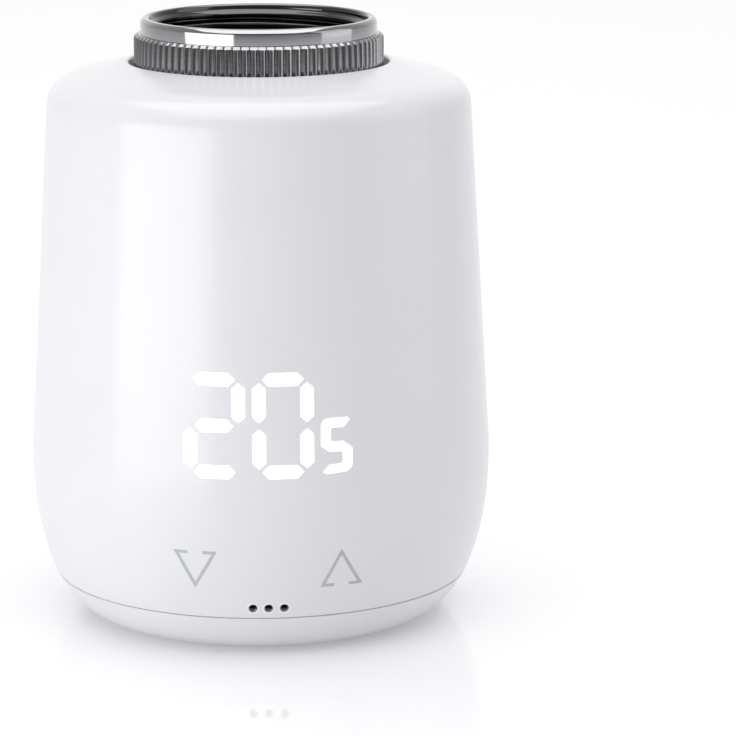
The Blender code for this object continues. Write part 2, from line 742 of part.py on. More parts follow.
def make_motor():
    spot = train_centres()[0]
    x, y = spot
    low, high = MOTOR_Z
    inner = MOTOR_RADIUS - MOTOR_WALL
    profile = [
        (0, MOTOR_BOSS_TOP_Z),
        (MOTOR_BOSS_RADIUS, MOTOR_BOSS_TOP_Z),
        (MOTOR_BOSS_RADIUS, high),
        (MOTOR_RADIUS, high),
        (MOTOR_RADIUS, low),
        (inner, low),
        (inner, high - 0.8),
        (0, high - 0.8),
    ]
    can = turned("motor_can", profile, STEEL, 24, at=spot)
    bore(can, "can_bore", 1.2, 50, 62, spot)
    for i, offset in enumerate((-MOTOR_SCREW_X, MOTOR_SCREW_X)):
        hole = (x + offset, y)
        bore(can, f"can_screw_hole_{i}", 1.0, 55.5, 60, hole, sides=8)
        countersunk = [(0, 59.5), (2.0, 59.5), (0.8, 58.2), (0.8, 56.0), (0, 56.0)]
        turned(f"motor_screw_{i + 1}", countersunk, STEEL, 8, at=hole)
    make_motor_end_bell(spot)
    for i in (0, 1):
        sweep = [30 + 180 * i + 12 * k for k in range(11)]
        inner_radius, outer_radius = MAGNET_RADII
        arc = [polar(outer_radius, angle) for angle in sweep]
        arc += [polar(inner_radius, angle) for angle in reversed(sweep)]
        plate(f"motor_magnet_{i + 1}", [arc], *MAGNET_Z, MAGNET, at=spot)
    armature = plate("motor_armature", [armature_outline()], *ARMATURE_Z, COPPER, at=spot)
    bore(armature, "armature_bore", SHAFT_RADIUS + PART_GAP, 30, 60, spot)
    cylinder("motor_shaft", SHAFT_RADIUS, *SHAFT_Z, STEEL, at=spot, sides=12)
    teeth = pinion_outline(heading(spot, train_centres()[1]))
    pinion = plate("motor_pinion", [teeth], LEVELS[0] - 0.2, LEVELS[0] + 2.0, BRASS, at=spot)
    bore(pinion, "pinion_bore", SHAFT_RADIUS + PART_GAP, 58, 64, spot)


def make_motor_end_bell(spot):
    """The plastic plug in the can's open end, with the shaft's lower bearing."""
    low = MOTOR_Z[0]
    profile = [
        (0, low + 1.2),
        (MOTOR_RADIUS - 1.0, low + 1.2),
        (MOTOR_RADIUS - 1.0, low - 0.3),
        (MOTOR_RADIUS - 0.2, low - 0.3),
        (MOTOR_RADIUS - 0.2, low - 1.8),
        (2.4, low - 1.8),
        (2.4, low - 2.8),
        (0, low - 2.8),
    ]
    bell = turned("motor_end_bell", profile, BLACK_PLASTIC, 24, at=spot)
    bore(bell, "bell_bore", 1.2, 29, 36, spot)


def armature_outline(poles=3, radius=ARMATURE_RADIUS, core=2.0):
    """Three wound poles seen end on: wide tips with deep slots between them."""
    outline = []
    for i in range(poles):
        middle = 360 * i / poles
        outline += [polar(core, middle - 50), polar(radius * 0.8, middle - 40), polar(radius, middle - 42)]
        outline += [polar(radius, middle + k) for k in (-21, 0, 21)]
        outline += [polar(radius, middle + 42), polar(radius * 0.8, middle + 40), polar(core, middle + 50)]
    return outline


# ---------------------------------------------------------------- electrics


def coil(radius0, radius1, length, turns, per_turn=8):
    """A coil spring about Z, from radius0 at z = 0 to radius1 at z = length."""
    points = []
    count = int(turns * per_turn)
    for i in range(count + 1):
        share = i / count
        radius = radius0 + (radius1 - radius0) * share
        angle = 2 * math.pi * turns * share
        points.append((radius * math.cos(angle), radius * math.sin(angle), length * share))
    return points


def placed(points, at):
    return [(x + at[0], y + at[1], z + at[2]) for x, y, z in points]


def make_cell(name, x, nub_up, low):
    """A dry cell: a plain can with a flat end and a contact nub."""
    body_top = CELL_LENGTH - CELL_NUB_HEIGHT
    profile = [
        (0, CELL_LENGTH),
        (CELL_NUB_RADIUS, CELL_LENGTH),
        (CELL_NUB_RADIUS, body_top),
        (CELL_RADIUS - 0.5, body_top),
        (CELL_RADIUS, body_top - 0.6),
        (CELL_RADIUS, 0.5),
        (CELL_RADIUS - 0.5, 0),
        (0, 0),
    ]
    if not nub_up:
        profile = [(r, CELL_LENGTH - z) for r, z in reversed(profile)]
    return turned(name, [(r, low + z) for r, z in profile], CELL_WRAP, 24, at=(x, CELL_Y))


def make_power():
    """Two cells joined in series by a plate in the cap, and their contacts under the deck."""
    make_cell("battery_cell_1", -CELL_X, True, CELL_1_BOTTOM_Z)
    make_cell("battery_cell_2", CELL_X, False, CELL_2_BOTTOM_Z)
    bridge_x = CELL_X + 4.5
    bridge_y = (CELL_Y - 3.6, CELL_Y + 3.6)
    block("bridge_contact_plate", (-bridge_x, bridge_x), bridge_y, BRIDGE_Z, NICKEL, bevel=0.15)
    spring = placed(coil(3.6, 2.6, 2.8, 2.5), (-CELL_X, CELL_Y, BRIDGE_Z[1] + 0.45))
    wire("bridge_contact_spring", spring, CONTACT_WIRE_RADIUS, NICKEL, 2)
    for name, x in (("contact_plate_positive", -CELL_X), ("contact_plate_negative", CELL_X)):
        width = (x - CONTACT_HALF_WIDTH, x + CONTACT_HALF_WIDTH)
        block(name, width, (3.6, CELL_Y + 4), CONTACT_Z, NICKEL)
    spring = placed(coil(2.6, 3.6, 2.7, 2.5), (CELL_X, CELL_Y, CELL_2_BOTTOM_Z + CELL_LENGTH + 0.4))
    wire("contact_spring_negative", spring, CONTACT_WIRE_RADIUS, NICKEL, 2)


def make_boards():
    """The main board with its parts on the back, and the display board and key springs in front."""
    back = BOARD_Y + PART_GAP
    width = (-BOARD_HALF_WIDTH, BOARD_HALF_WIDTH)
    block("main_board", width, (BOARD_FRONT_Y, BOARD_Y), BOARD_Z, BOARD_GREEN)
    block("radio_module", (-14.2, 0.8), (back, back + 2.6), (13.2, 28.4), NICKEL, bevel=0.3)
    block("controller_chip", (4.0, 11.0), (back, back + 1.2), (32.0, 39.0), BLACK_PLASTIC, bevel=0.15)
    block("motor_driver_chip", (6.0, 11.0), (back, back + 1.4), (44.0, 48.0), BLACK_PLASTIC, bevel=0.15)
    block("lead_connector", (2.4, 9.4), (back, back + 4.3), (21.0, 26.5), CONNECTOR_WHITE, bevel=0.3)
    display_y = (BOARD_FRONT_Y - 2.7, BOARD_FRONT_Y - PART_GAP)
    block("display_board", (-12.4, 12.4), display_y, (24.4, 41.4), DISPLAY_BLACK, bevel=0.2)
    foot_y = BOARD_FRONT_Y - 0.75
    turns = coil(2.0, 2.0, 6.2, 3)
    for name, key_x in (("touch_spring_down", -KEY_X), ("touch_spring_up", KEY_X)):
        points = [(key_x + x, foot_y - along, KEY_Z + 2.6 + up) for x, up, along in turns]
        wire(name, points, CONTACT_WIRE_RADIUS, NICKEL, 2)


def make_temperature_sensor():
    """A bead on a bent lead, from the board's lower edge to behind the vents."""
    lead = [
        (0, BOARD_FRONT_Y + 0.8, 11.6),
        (0, BOARD_FRONT_Y - 0.6, 9.6),
        (0, -22.2, 8.4),
        (0, -23.4, 7.9),
        (0, -24.6, 7.6),
    ]
    wire("temperature_sensor", lead, 0.4, BLACK_PLASTIC, radii=[1, 1, 1.2, 2.6, 1.6])


def flat_segment(x0, x1, z):
    """A level display segment, pointed at both ends."""
    half = SEGMENT_WIDTH / 2
    below = [(x0 + half, z - half), (x1 - half, z - half)]
    above = [(x1 - half, z + half), (x0 + half, z + half)]
    return [(x0, z), *below, (x1, z), *above]


def upright_segment(x, z0, z1):
    """An upright display segment, pointed at both ends."""
    half = SEGMENT_WIDTH / 2
    right = [(x + half, z0 + half), (x + half, z1 - half)]
    left = [(x - half, z1 - half), (x - half, z0 + half)]
    return [(x, z0), *right, (x, z1), *left]


def digit_segments(left):
    """The seven segments of one digit, in the X-Z plane."""
    half = SEGMENT_WIDTH / 2
    middle = DIGIT_BOTTOM_Z + DIGIT_HEIGHT / 2
    rows = [DIGIT_BOTTOM_Z + half, middle, DIGIT_BOTTOM_Z + DIGIT_HEIGHT - half]
    columns = [left + half, left + DIGIT_WIDTH - half]
    x0, x1 = columns[0] + SEGMENT_GAP, columns[1] - SEGMENT_GAP
    segments = [flat_segment(x0, x1, z) for z in rows]
    for x in columns:
        for low, high in zip(rows, rows[1:]):
            segments.append(upright_segment(x, low + SEGMENT_GAP, high - SEGMENT_GAP))
    return segments


def make_display():
    """The light mask behind the window, with one channel for each segment, and the film over it."""
    width = (-DISPLAY_HALF_WIDTH, DISPLAY_HALF_WIDTH)
    mask_y = (-33, BOARD_FRONT_Y - 2.7 - PART_GAP)
    mask = block("display_light_mask", width, mask_y, DISPLAY_Z, DISPLAY_BLACK)
    keep(mask, behind_skin("mask_front", MASK_BEHIND_SKIN))
    number = 0
    for left in DIGIT_LEFT:
        for outline in digit_segments(left):
            number += 1
            cut(mask, plate(f"segment_channel_{number}", [outline], -34, -18, helper=True, front=True))
    film = block("display_diffuser", width, (-33, -20), DISPLAY_Z, DIFFUSER)
    outer, inner = FILM_BEHIND_SKIN
    keep(film, behind_skin("film_outer", outer))
    cut(film, behind_skin("film_inner", inner, 1))


def behind_skin(name, depth, taller=0):
    """A cone inside the straight wall, this far behind its skin, round the display's height."""
    low, high = DISPLAY_Z[0] - 1 - taller, DISPLAY_Z[1] + 1 + taller
    radius = wall_radius(low + taller) - depth
    top = wall_radius(high - taller) - depth
    return cylinder(name, radius, low, high, top=top, sides=ROUND_STEPS, helper=True)


def make_leads():
    """Two leads from the motor to the connector, and two from the cells' contacts to the board."""
    x, y = train_centres()[0]
    routes = {
        "motor_lead_red": [
            (x + 3.4, y, 31.0),
            (x + 3.6, y, 29.0),
            (x + 6.4, y - 2.5, 25.4),
            (4.6, -12.3, 23.7),
        ],
        "motor_lead_black": [
            (x - 3.4, y, 31.0),
            (x - 3.4, y + 0.2, 28.4),
            (x + 4.4, y + 0.6, 22.9),
            (7.2, -12.3, 23.0),
        ],
        "battery_lead_red": [
            (-CELL_X, 3.4, 56.3),
            (-12.4, 0.0, 56.0),
            (-14.0, -8.0, 55.2),
            (-14.2, -16.9, 53.4),
        ],
        "battery_lead_black": [
            (CELL_X, 3.4, 56.3),
            (10.6, -2.0, 56.0),
            (12.8, -9.0, 55.2),
            (13.4, -16.9, 53.4),
        ],
    }
    for name, route in routes.items():
        colour = WIRE_RED if name.endswith("red") else WIRE_BLACK
        wire(name, smooth_route(route, 4), LEAD_RADIUS, colour)


def make_screws():
    for i, spot in spots(NECK_SCREW_PLACE_RADIUS, NECK_SCREW_ANGLES):
        pan_screw(f"neck_screw_{i + 1}", spot, 73.65, 69.7)
    for i, spot in spots(COVER_SCREW_PLACE_RADIUS, COVER_SCREW_ANGLES):
        pan_screw(f"gearbox_screw_{i + 1}", spot, COVER_Z[1] + 0.1, 58.5)


def pan_screw(name, at, seat, tip):
    """A pan-head screw, its head's underside at seat."""
    top = seat + SCREW_HEAD_HEIGHT
    profile = [
        (0, top),
        (SCREW_HEAD_RADIUS - 0.6, top),
        (SCREW_HEAD_RADIUS - 0.1, top - 0.4),
        (SCREW_HEAD_RADIUS, seat),
        (SCREW_SHANK_RADIUS, seat),
        (SCREW_SHANK_RADIUS, tip + 0.6),
        (0.4, tip),
        (0, tip),
    ]
    screw = turned(name, profile, STEEL, 10, at=at)
    x, y = at
    slot_z = (top - 0.5, top + 0.9)
    cut(screw, block(name + "_slot", (x - 0.25, x + 0.25), (y - 2.0, y + 2.0), slot_z, helper=True))
    return screw


# ---------------------------------------------------------------- the assembly


clear_scene()
PARTS = new_collection("radiator_valve_head")
CUTTERS = new_collection("cutters")
WHITE_SHELL = make_material("white_shell", (0.86, 0.86, 0.89), 0.28)
CHROME = make_material("chrome", (0.62, 0.62, 0.63), 0.12, 1.0)
NECK_GREY = make_material("neck_grey", (0.30, 0.31, 0.32), 0.45)
FRAME_GREY = make_material("frame_grey", (0.55, 0.56, 0.58), 0.5)
ACETAL_WHITE = make_material("acetal_white", (0.82, 0.82, 0.78), 0.4)
STEEL = make_material("steel", (0.55, 0.55, 0.56), 0.3, 1.0)
BRASS = make_material("brass", (0.72, 0.55, 0.25), 0.3, 1.0)
MAGNET = make_material("magnet", (0.12, 0.12, 0.13), 0.55, 0.3)
COPPER = make_material("copper", (0.62, 0.32, 0.18), 0.4, 1.0)
NICKEL = make_material("nickel", (0.66, 0.64, 0.60), 0.3, 1.0)
BLACK_PLASTIC = make_material("black_plastic", (0.03, 0.03, 0.03), 0.5)
CONNECTOR_WHITE = make_material("connector_white", (0.85, 0.83, 0.76), 0.5)
BOARD_GREEN = make_material("board_green", (0.03, 0.18, 0.08), 0.4)
DISPLAY_BLACK = make_material("display_black", (0.02, 0.02, 0.025), 0.5)
DIFFUSER = make_material("diffuser", (0.9, 0.9, 0.92), 0.5)
CELL_WRAP = make_material("cell_wrap", (0.12, 0.13, 0.15), 0.35)
WIRE_RED = make_material("wire_red", (0.55, 0.04, 0.03), 0.4)
WIRE_BLACK = make_material("wire_black", (0.03, 0.03, 0.03), 0.4)

make_outer_shell()
make_end_cap()
make_valve_neck()
make_union_nut()
make_push_rod()
make_drive()
make_gearbox_cover()
make_chassis()
make_motor()
make_power()
make_boards()
make_temperature_sensor()
make_display()
make_leads()
make_screws()
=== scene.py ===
import math

import bmesh
import bpy
from mathutils import Matrix, Vector


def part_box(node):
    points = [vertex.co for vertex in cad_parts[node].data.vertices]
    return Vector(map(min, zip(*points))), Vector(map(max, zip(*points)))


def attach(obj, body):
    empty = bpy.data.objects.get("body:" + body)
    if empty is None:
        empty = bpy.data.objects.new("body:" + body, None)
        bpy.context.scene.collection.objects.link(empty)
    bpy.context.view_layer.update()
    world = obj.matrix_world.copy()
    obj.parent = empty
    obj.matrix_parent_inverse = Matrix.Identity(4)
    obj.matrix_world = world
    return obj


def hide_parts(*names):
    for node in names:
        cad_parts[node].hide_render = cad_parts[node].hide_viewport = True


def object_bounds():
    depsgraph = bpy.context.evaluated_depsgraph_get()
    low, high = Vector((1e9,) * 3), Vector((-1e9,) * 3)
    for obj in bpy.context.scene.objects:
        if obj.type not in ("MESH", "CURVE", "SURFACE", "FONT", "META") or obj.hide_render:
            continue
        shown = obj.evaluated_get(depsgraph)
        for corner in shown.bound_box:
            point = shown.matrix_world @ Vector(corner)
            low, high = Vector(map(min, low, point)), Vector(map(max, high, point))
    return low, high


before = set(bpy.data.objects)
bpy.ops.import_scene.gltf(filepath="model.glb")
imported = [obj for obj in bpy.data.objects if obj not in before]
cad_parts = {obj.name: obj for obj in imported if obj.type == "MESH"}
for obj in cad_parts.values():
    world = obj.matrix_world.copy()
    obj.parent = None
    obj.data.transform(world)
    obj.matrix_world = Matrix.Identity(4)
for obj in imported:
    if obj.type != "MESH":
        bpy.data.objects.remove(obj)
cad_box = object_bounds()
MM = 0.001
TAU = 2 * math.pi
SHARP_DEGREES = 30
AXIS_RADIUS = 0.02  # where a spun profile closes on its own axis

# The shell's outer curve in millimetres. It is the CAD's curve, but for a gently domed crown
SEAM_Z = 5.8
SEAM_HALF_GAP = 0.15
FOOT_RADIUS = 22.0
FOOT_HANDLES = ((33.0, 13.6), (29.3, 0.5))
WAIST = (31.9, 27.0)
SHOULDER = (29.3, 71.4)
SHOULDER_HANDLES = ((26.9, 75.4), (29.1, 74.5))
CROWN_EDGE = (24.0, 76.0)
CROWN_HANDLES = ((20.2, 76.95), (22.1, 76.46))
CROWN_LIP = (18.3, 77.4)
WALL_ROWS = 10
FOOT_ROWS = 60

# Three screws hold the neck to the shell
SCREW_ANGLES = (90, 210, 330)
SCREW_CIRCLE = 7.3


# ---------------------------------------------------------------- mesh tools


def link_object(name, data):
    obj = bpy.data.objects.new(name, data)
    bpy.context.scene.collection.objects.link(obj)
    return obj


def mesh_from(bm, name):
    """The bmesh as a new mesh. The bmesh is freed."""
    mesh = bpy.data.meshes.new(name)
    bm.to_mesh(mesh)
    bm.free()
    return mesh


def finish_mesh(name, verts, faces, material, sharp):
    mesh = bpy.data.meshes.new(name)
    mesh.from_pydata([(x * MM, y * MM, z * MM) for x, y, z in verts], [], faces)
    mesh.validate()
    mesh.shade_smooth()
    mesh.set_sharp_from_angle(angle=math.radians(sharp))
    mesh.materials.append(material)
    return link_object(name, mesh)


def ring_faces(rows, steps, closed=False):
    """Quads between rings of points, and from the last ring back to the first if closed."""
    faces = []
    for row in range(rows if closed else rows - 1):
        nxt = (row + 1) % rows
        for i in range(steps):
            j = (i + 1) % steps
            faces.append((row * steps + i, row * steps + j, nxt * steps + j, nxt * steps + i))
    return faces


def spun(name, profile, material, steps, closed=True, at=(0, 0), sharp=SHARP_DEGREES, shape=None):
    """Spins (radius, z) points about Z. shape(radius, z, angle, row) may move each point."""
    verts = []
    for row, (r, z) in enumerate(profile):
        for i in range(steps):
            a = TAU * i / steps
            rr, zz = shape(r, z, a, row) if shape else (r, z)
            verts.append((at[0] + rr * math.cos(a), at[1] + rr * math.sin(a), zz))
    rows = len(profile)
    faces = ring_faces(rows, steps, closed)
    if not closed:
        faces.append(tuple(reversed(range(steps))))
        faces.append(tuple(range((rows - 1) * steps, rows * steps)))
    obj = finish_mesh(name, verts, faces, material, sharp)
    bm = bmesh.new()
    bm.from_mesh(obj.data)
    bmesh.ops.recalc_face_normals(bm, faces=bm.faces)
    bm.to_mesh(obj.data)
    bm.free()
    return obj


def bezier(p0, p1, p2, p3, count):
    points = []
    for i in range(count + 1):
        t = i / count
        w = ((1 - t) ** 3, 3 * t * (1 - t) ** 2, 3 * t * t * (1 - t), t**3)
        points.append(tuple(sum(a * p[k] for a, p in zip(w, (p0, p1, p2, p3))) for k in (0, 1)))
    return points


def rounded(points, radius, steps=4):
    """A profile with its inner corners rounded by up to this radius."""
    most_of_side, nearly_straight, least_reach = 0.45, math.radians(160), 0.01
    out = [points[0]]
    for a, b, c in zip(points, points[1:], points[2:]):
        ab, cb = Vector(a) - Vector(b), Vector(c) - Vector(b)
        reach = min(radius, ab.length * most_of_side, cb.length * most_of_side)
        if ab.angle(cb, math.pi) > nearly_straight or reach < least_reach:
            out.append(b)
            continue
        start, end = Vector(b) + ab.normalized() * reach, Vector(b) + cb.normalized() * reach
        for i in range(steps + 1):
            t = i / steps
            p = start * (1 - t) ** 2 + Vector(b) * 2 * t * (1 - t) + end * t * t
            out.append((p.x, p.y))
    return [*out, points[-1]]


def foot_curve():
    return bezier(WAIST, *FOOT_HANDLES, (FOOT_RADIUS, 0.0), FOOT_ROWS)


def at_height(curve, z):
    for (r0, z0), (r1, z1) in zip(curve, curve[1:]):
        if z1 <= z <= z0:
            return r0 + (r1 - r0) * (z0 - z) / (z0 - z1 or 1)
    return curve[-1][0]


def wall_curve():
    """The outer curve from the crown's lip down to the foot."""
    crown = bezier(CROWN_LIP, *CROWN_HANDLES, CROWN_EDGE, 6)
    shoulder = bezier(CROWN_EDGE, *SHOULDER_HANDLES, SHOULDER, 20)
    (top_r, top_z), (waist_r, waist_z) = SHOULDER, WAIST
    wall = [
        (top_r + (waist_r - top_r) * i / WALL_ROWS, top_z + (waist_z - top_z) * i / WALL_ROWS)
        for i in range(1, WALL_ROWS)
    ]
    return [*crown, *shoulder[1:], *wall, *foot_curve()]


WALL_CURVE = wall_curve()


def surface(x, z, proud):
    """The point on the shell's front at this x and height, this far proud of it."""
    r = at_height(WALL_CURVE, z) + proud
    return (x, -math.sqrt(r * r - x * x), z)


def boolean_bake(obj, cutters):
    """Cuts obj by each cutter and keeps the result as its mesh."""
    for cutter in cutters:
        modifier = obj.modifiers.new("Cut", "BOOLEAN")
        modifier.object = cutter
        modifier.solver = "EXACT"
    bpy.context.view_layer.update()
    graph = bpy.context.evaluated_depsgraph_get()
    mesh = bpy.data.meshes.new_from_object(obj.evaluated_get(graph))
    obj.modifiers.clear()
    obj.data = mesh
    for cutter in cutters:
        bpy.data.objects.remove(cutter)
    mesh.set_sharp_from_angle(angle=math.radians(SHARP_DEGREES))


def rod(name, radius, a, b, material=None, sides=32):
    """A closed rod between two points."""
    bm = bmesh.new()
    a, b = Vector(a) * MM, Vector(b) * MM
    radius *= MM
    bmesh.ops.create_cone(
        bm, cap_ends=True, segments=sides, radius1=radius, radius2=radius, depth=(b - a).length
    )
    turn = (b - a).to_track_quat("Z", "Y").to_matrix().to_4x4()
    bmesh.ops.transform(bm, matrix=Matrix.Translation((a + b) / 2) @ turn, verts=bm.verts)
    mesh = mesh_from(bm, name)
    mesh.shade_smooth()
    mesh.set_sharp_from_angle(angle=math.radians(SHARP_DEGREES))
    if material:
        mesh.materials.append(material)
    return link_object(name, mesh)


def box_cutter(name, x, y, z):
    bm = bmesh.new()
    bmesh.ops.create_cube(bm, size=1.0)
    bmesh.ops.scale(bm, verts=bm.verts, vec=[(b - a) * MM for a, b in (x, y, z)])
    bmesh.ops.translate(bm, verts=bm.verts, vec=[(a + b) / 2 * MM for a, b in (x, y, z)])
    return link_object(name, mesh_from(bm, name))


def screw_hole(name, radius, angle, low, high, sides):
    """A cutter for the neck screw at this angle."""
    x = SCREW_CIRCLE * math.cos(math.radians(angle))
    y = SCREW_CIRCLE * math.sin(math.radians(angle))
    return rod(name, radius, (x, y, low), (x, y, high), sides=sides)


def between_flats(r, a, half_width):
    """The radius at this angle, cut back to two flats this far from the axis."""
    return half_width / abs(math.cos(a)) if abs(r * math.cos(a)) > half_width else r


# ---------------------------------------------------------------- materials


def new_material(name, colour, roughness, metallic=0.0, **sockets):
    material = bpy.data.materials.new(name)
    material.use_nodes = True
    shader = shader_of(material)
    shader.inputs["Base Color"].default_value = (*colour, 1)
    shader.inputs["Roughness"].default_value = roughness
    shader.inputs["Metallic"].default_value = metallic
    for key, value in sockets.items():
        shader.inputs[key.replace("_", " ")].default_value = value
    return material


def node(material, kind, **values):
    """A new node. in_NAME or in_NUMBER sets an input, and any other name sets a property."""
    made = material.node_tree.nodes.new(kind)
    for key, value in values.items():
        if key.startswith("in_"):
            socket = key.removeprefix("in_")
            socket = int(socket) if socket.isdigit() else socket.replace("_", " ")
            made.inputs[socket].default_value = value
        else:
            setattr(made, key, value)
    return made


def link(material, a, out, b, into):
    material.node_tree.links.new(a.outputs[out], b.inputs[into])


def shader_of(material):
    return material.node_tree.nodes["Principled BSDF"]


def set_stops(ramp, stops):
    """Gives a new colour ramp these (place, colour) stops."""
    first, last = ramp.color_ramp.elements
    first.position, first.color = stops[0][0], (*stops[0][1], 1)
    last.position, last.color = stops[-1][0], (*stops[-1][1], 1)
    for place, colour in stops[1:-1]:
        ramp.color_ramp.elements.new(place).color = (*colour, 1)


def noise(material, scale, detail, stretch=(1, 1, 1)):
    coords = node(material, "ShaderNodeTexCoord")
    mapping = node(material, "ShaderNodeMapping")
    mapping.inputs["Scale"].default_value = stretch
    texture = node(material, "ShaderNodeTexNoise", in_Scale=scale, in_Detail=detail)
    link(material, coords, "Object", mapping, "Vector")
    link(material, mapping, "Vector", texture, "Vector")
    return texture


def colour_by(material, source, output, stops):
    """The base colour runs through these stops as the source's output rises from 0 to 1."""
    ramp = node(material, "ShaderNodeValToRGB")
    set_stops(ramp, stops)
    link(material, source, output, ramp, "Fac")
    link(material, ramp, "Color", shader_of(material), "Base Color")
    return ramp


def vary(material, texture, colour_a, colour_b, low=0.35, high=0.65):
    """The base colour runs between two colours by the texture."""
    colour_by(material, texture, "Fac", [(low, colour_a), (high, colour_b)])


def darker(colour, share):
    return tuple(c * (1 - share) for c in colour)


def rough(material, texture, low, high):
    span = node(material, "ShaderNodeMapRange", in_3=low, in_4=high)
    link(material, texture, "Fac", span, 0)
    link(material, span, 0, shader_of(material), "Roughness")


def bump(material, texture, distance, strength):
    made = node(material, "ShaderNodeBump", in_Strength=strength, in_Distance=distance)
    link(material, texture, "Fac", made, "Height")
    link(material, made, "Normal", shader_of(material), "Normal")


def plastic(name, colour, roughness, grain=0.00004, spread=0.04, grain_scale=4000):
    """Moulded plastic: a fine grain, and slight changes of tone and gloss."""
    material = new_material(name, colour, roughness, IOR=1.46)
    vary(material, noise(material, 60, 2), darker(colour, spread), colour)
    rough(material, noise(material, 180, 3), roughness * 0.92, roughness * 1.1)
    bump(material, noise(material, grain_scale, 2), grain, 0.15)
    return material


def lacquered(name):
    """White moulding under a clear satin lacquer."""
    material = plastic(name, BODY_WHITE, 0.32, 0.00003, 0.015)
    shader = shader_of(material)
    shader.inputs["Coat Weight"].default_value = 0.45
    shader.inputs["Coat Roughness"].default_value = 0.12
    return material


def metal(name, colour, roughness, stretch, scale, spread=0.12):
    """Metal with fine drawn or machined marks along one direction."""
    material = new_material(name, colour, roughness, 1.0)
    marks = noise(material, scale, 4, stretch)
    vary(material, marks, darker(colour, spread), colour)
    rough(material, marks, roughness * 0.85, roughness * 1.3)
    bump(material, marks, 0.00001, 0.3)
    return material


BODY_WHITE = (0.84, 0.84, 0.875)
SHELL = lacquered("shell_plastic")
CAP = lacquered("cap_plastic")
CHROME = metal("chrome_plate", (0.40, 0.40, 0.41), 0.07, (1, 1, 9), 400, 0.1)
NECK = plastic("neck_plastic", (0.07, 0.075, 0.08), 0.42)
FRAME = plastic("chassis_plastic", (0.42, 0.43, 0.45), 0.5)
COVER = plastic("cover_plastic", (0.50, 0.51, 0.53), 0.5)
ACETAL = plastic("acetal", (0.80, 0.80, 0.76), 0.35, 0.00002, 0.05)
STEEL = metal("zinc_steel", (0.60, 0.60, 0.62), 0.34, (1, 1, 6), 900)
CAN_STEEL = metal("motor_steel", (0.50, 0.51, 0.53), 0.34, (1, 1, 14), 500, 0.18)
SCREW_STEEL = metal("screw_steel", (0.58, 0.58, 0.60), 0.34, (1, 1, 1), 1500)
BRASS = metal("pinion_brass", (0.80, 0.58, 0.26), 0.2, (1, 1, 8), 800)
NICKEL = metal("contact_nickel", (0.72, 0.70, 0.66), 0.2, (4, 1, 1), 800)
BLACK = plastic("black_moulding", (0.025, 0.025, 0.028), 0.45)
CHIP = plastic("chip_epoxy", (0.02, 0.02, 0.022), 0.6, 0.00008, 0.2, 6000)
CONNECTOR = plastic("connector_nylon", (0.78, 0.75, 0.66), 0.5)
MASK_BLACK = plastic("light_mask", (0.012, 0.012, 0.014), 0.7)
DIFFUSER = plastic("diffuser_film", (0.86, 0.86, 0.90), 0.6)
RED = plastic("wire_red", (0.50, 0.02, 0.02), 0.35)
DARK = plastic("wire_black", (0.02, 0.02, 0.02), 0.35)
MAGNET = plastic("ferrite", (0.05, 0.05, 0.055), 0.7, 0.0001, 0.3)
SENSOR = plastic("sensor_epoxy", (0.03, 0.03, 0.035), 0.32)


def winding():
    """Copper wire wound in fine turns along the motor's length."""
    material = new_material("copper_winding", (0.70, 0.30, 0.12), 0.3, 1.0)
    coords = node(material, "ShaderNodeTexCoord")
    waves = node(
        material,
        "ShaderNodeTexWave",
        bands_direction="Z",
        in_Scale=900.0,
        in_Distortion=1.5,
        in_Detail=2.0,
    )
    link(material, coords, "Object", waves, "Vector")
    vary(material, waves, (0.35, 0.12, 0.05), (0.85, 0.42, 0.18), 0.2, 0.8)
    bump(material, waves, 0.0001, 0.6)
    return material


def circuit_board():
    """Green solder mask, with lighter tracks in a brick pattern under it."""
    material = new_material("circuit_board", (0.02, 0.14, 0.06), 0.3, Coat_Weight=0.4)
    coords = node(material, "ShaderNodeTexCoord")
    bricks = node(
        material,
        "ShaderNodeTexBrick",
        in_Scale=420.0,
        in_Color1=(0.015, 0.13, 0.05, 1),
        in_Color2=(0.02, 0.17, 0.07, 1),
        in_Mortar=(0.05, 0.26, 0.11, 1),
        in_Mortar_Size=0.035,
    )
    turned = node(material, "ShaderNodeMapping", in_Rotation=(math.pi / 2, 0, 0))
    link(material, coords, "Object", turned, "Vector")
    link(material, turned, "Vector", bricks, "Vector")
    link(material, bricks, "Color", shader_of(material), "Base Color")
    bump(material, noise(material, 900, 2), 0.00003, 0.2)
    return material


def cell_wrap(low, high, flip):
    """A battery sleeve: dark body with a copper band towards the nub, and metal ends."""
    letter = "b" if flip else "a"
    material = new_material(f"cell_sleeve_{letter}", (0.05, 0.05, 0.06), 0.28, 0.2, Coat_Weight=0.5)
    coords = node(material, "ShaderNodeTexCoord")
    axis = node(material, "ShaderNodeSeparateXYZ")
    link(material, coords, "Object", axis, 0)
    span = node(material, "ShaderNodeMapRange", in_1=low, in_2=high)
    link(material, axis, "Z", span, 0)
    end, sleeve, copper = (0.6, 0.6, 0.62), (0.03, 0.032, 0.04), (0.62, 0.34, 0.12)
    stops = [(0.0, end), (0.012, sleeve), (0.66, copper), (0.965, end)]
    if flip:
        stops = [(0.0, end), (0.035, copper), (0.34, sleeve), (0.988, end)]
    colour_by(material, span, 0, stops).color_ramp.interpolation = "CONSTANT"
    rough(material, noise(material, 300, 3), 0.29, 0.38)
    return material


def key_print():
    material = new_material("key_print", (0.50, 0.545, 0.565), 0.4)
    vary(material, noise(material, 900, 3), (0.47, 0.515, 0.535), (0.53, 0.575, 0.595))
    return material


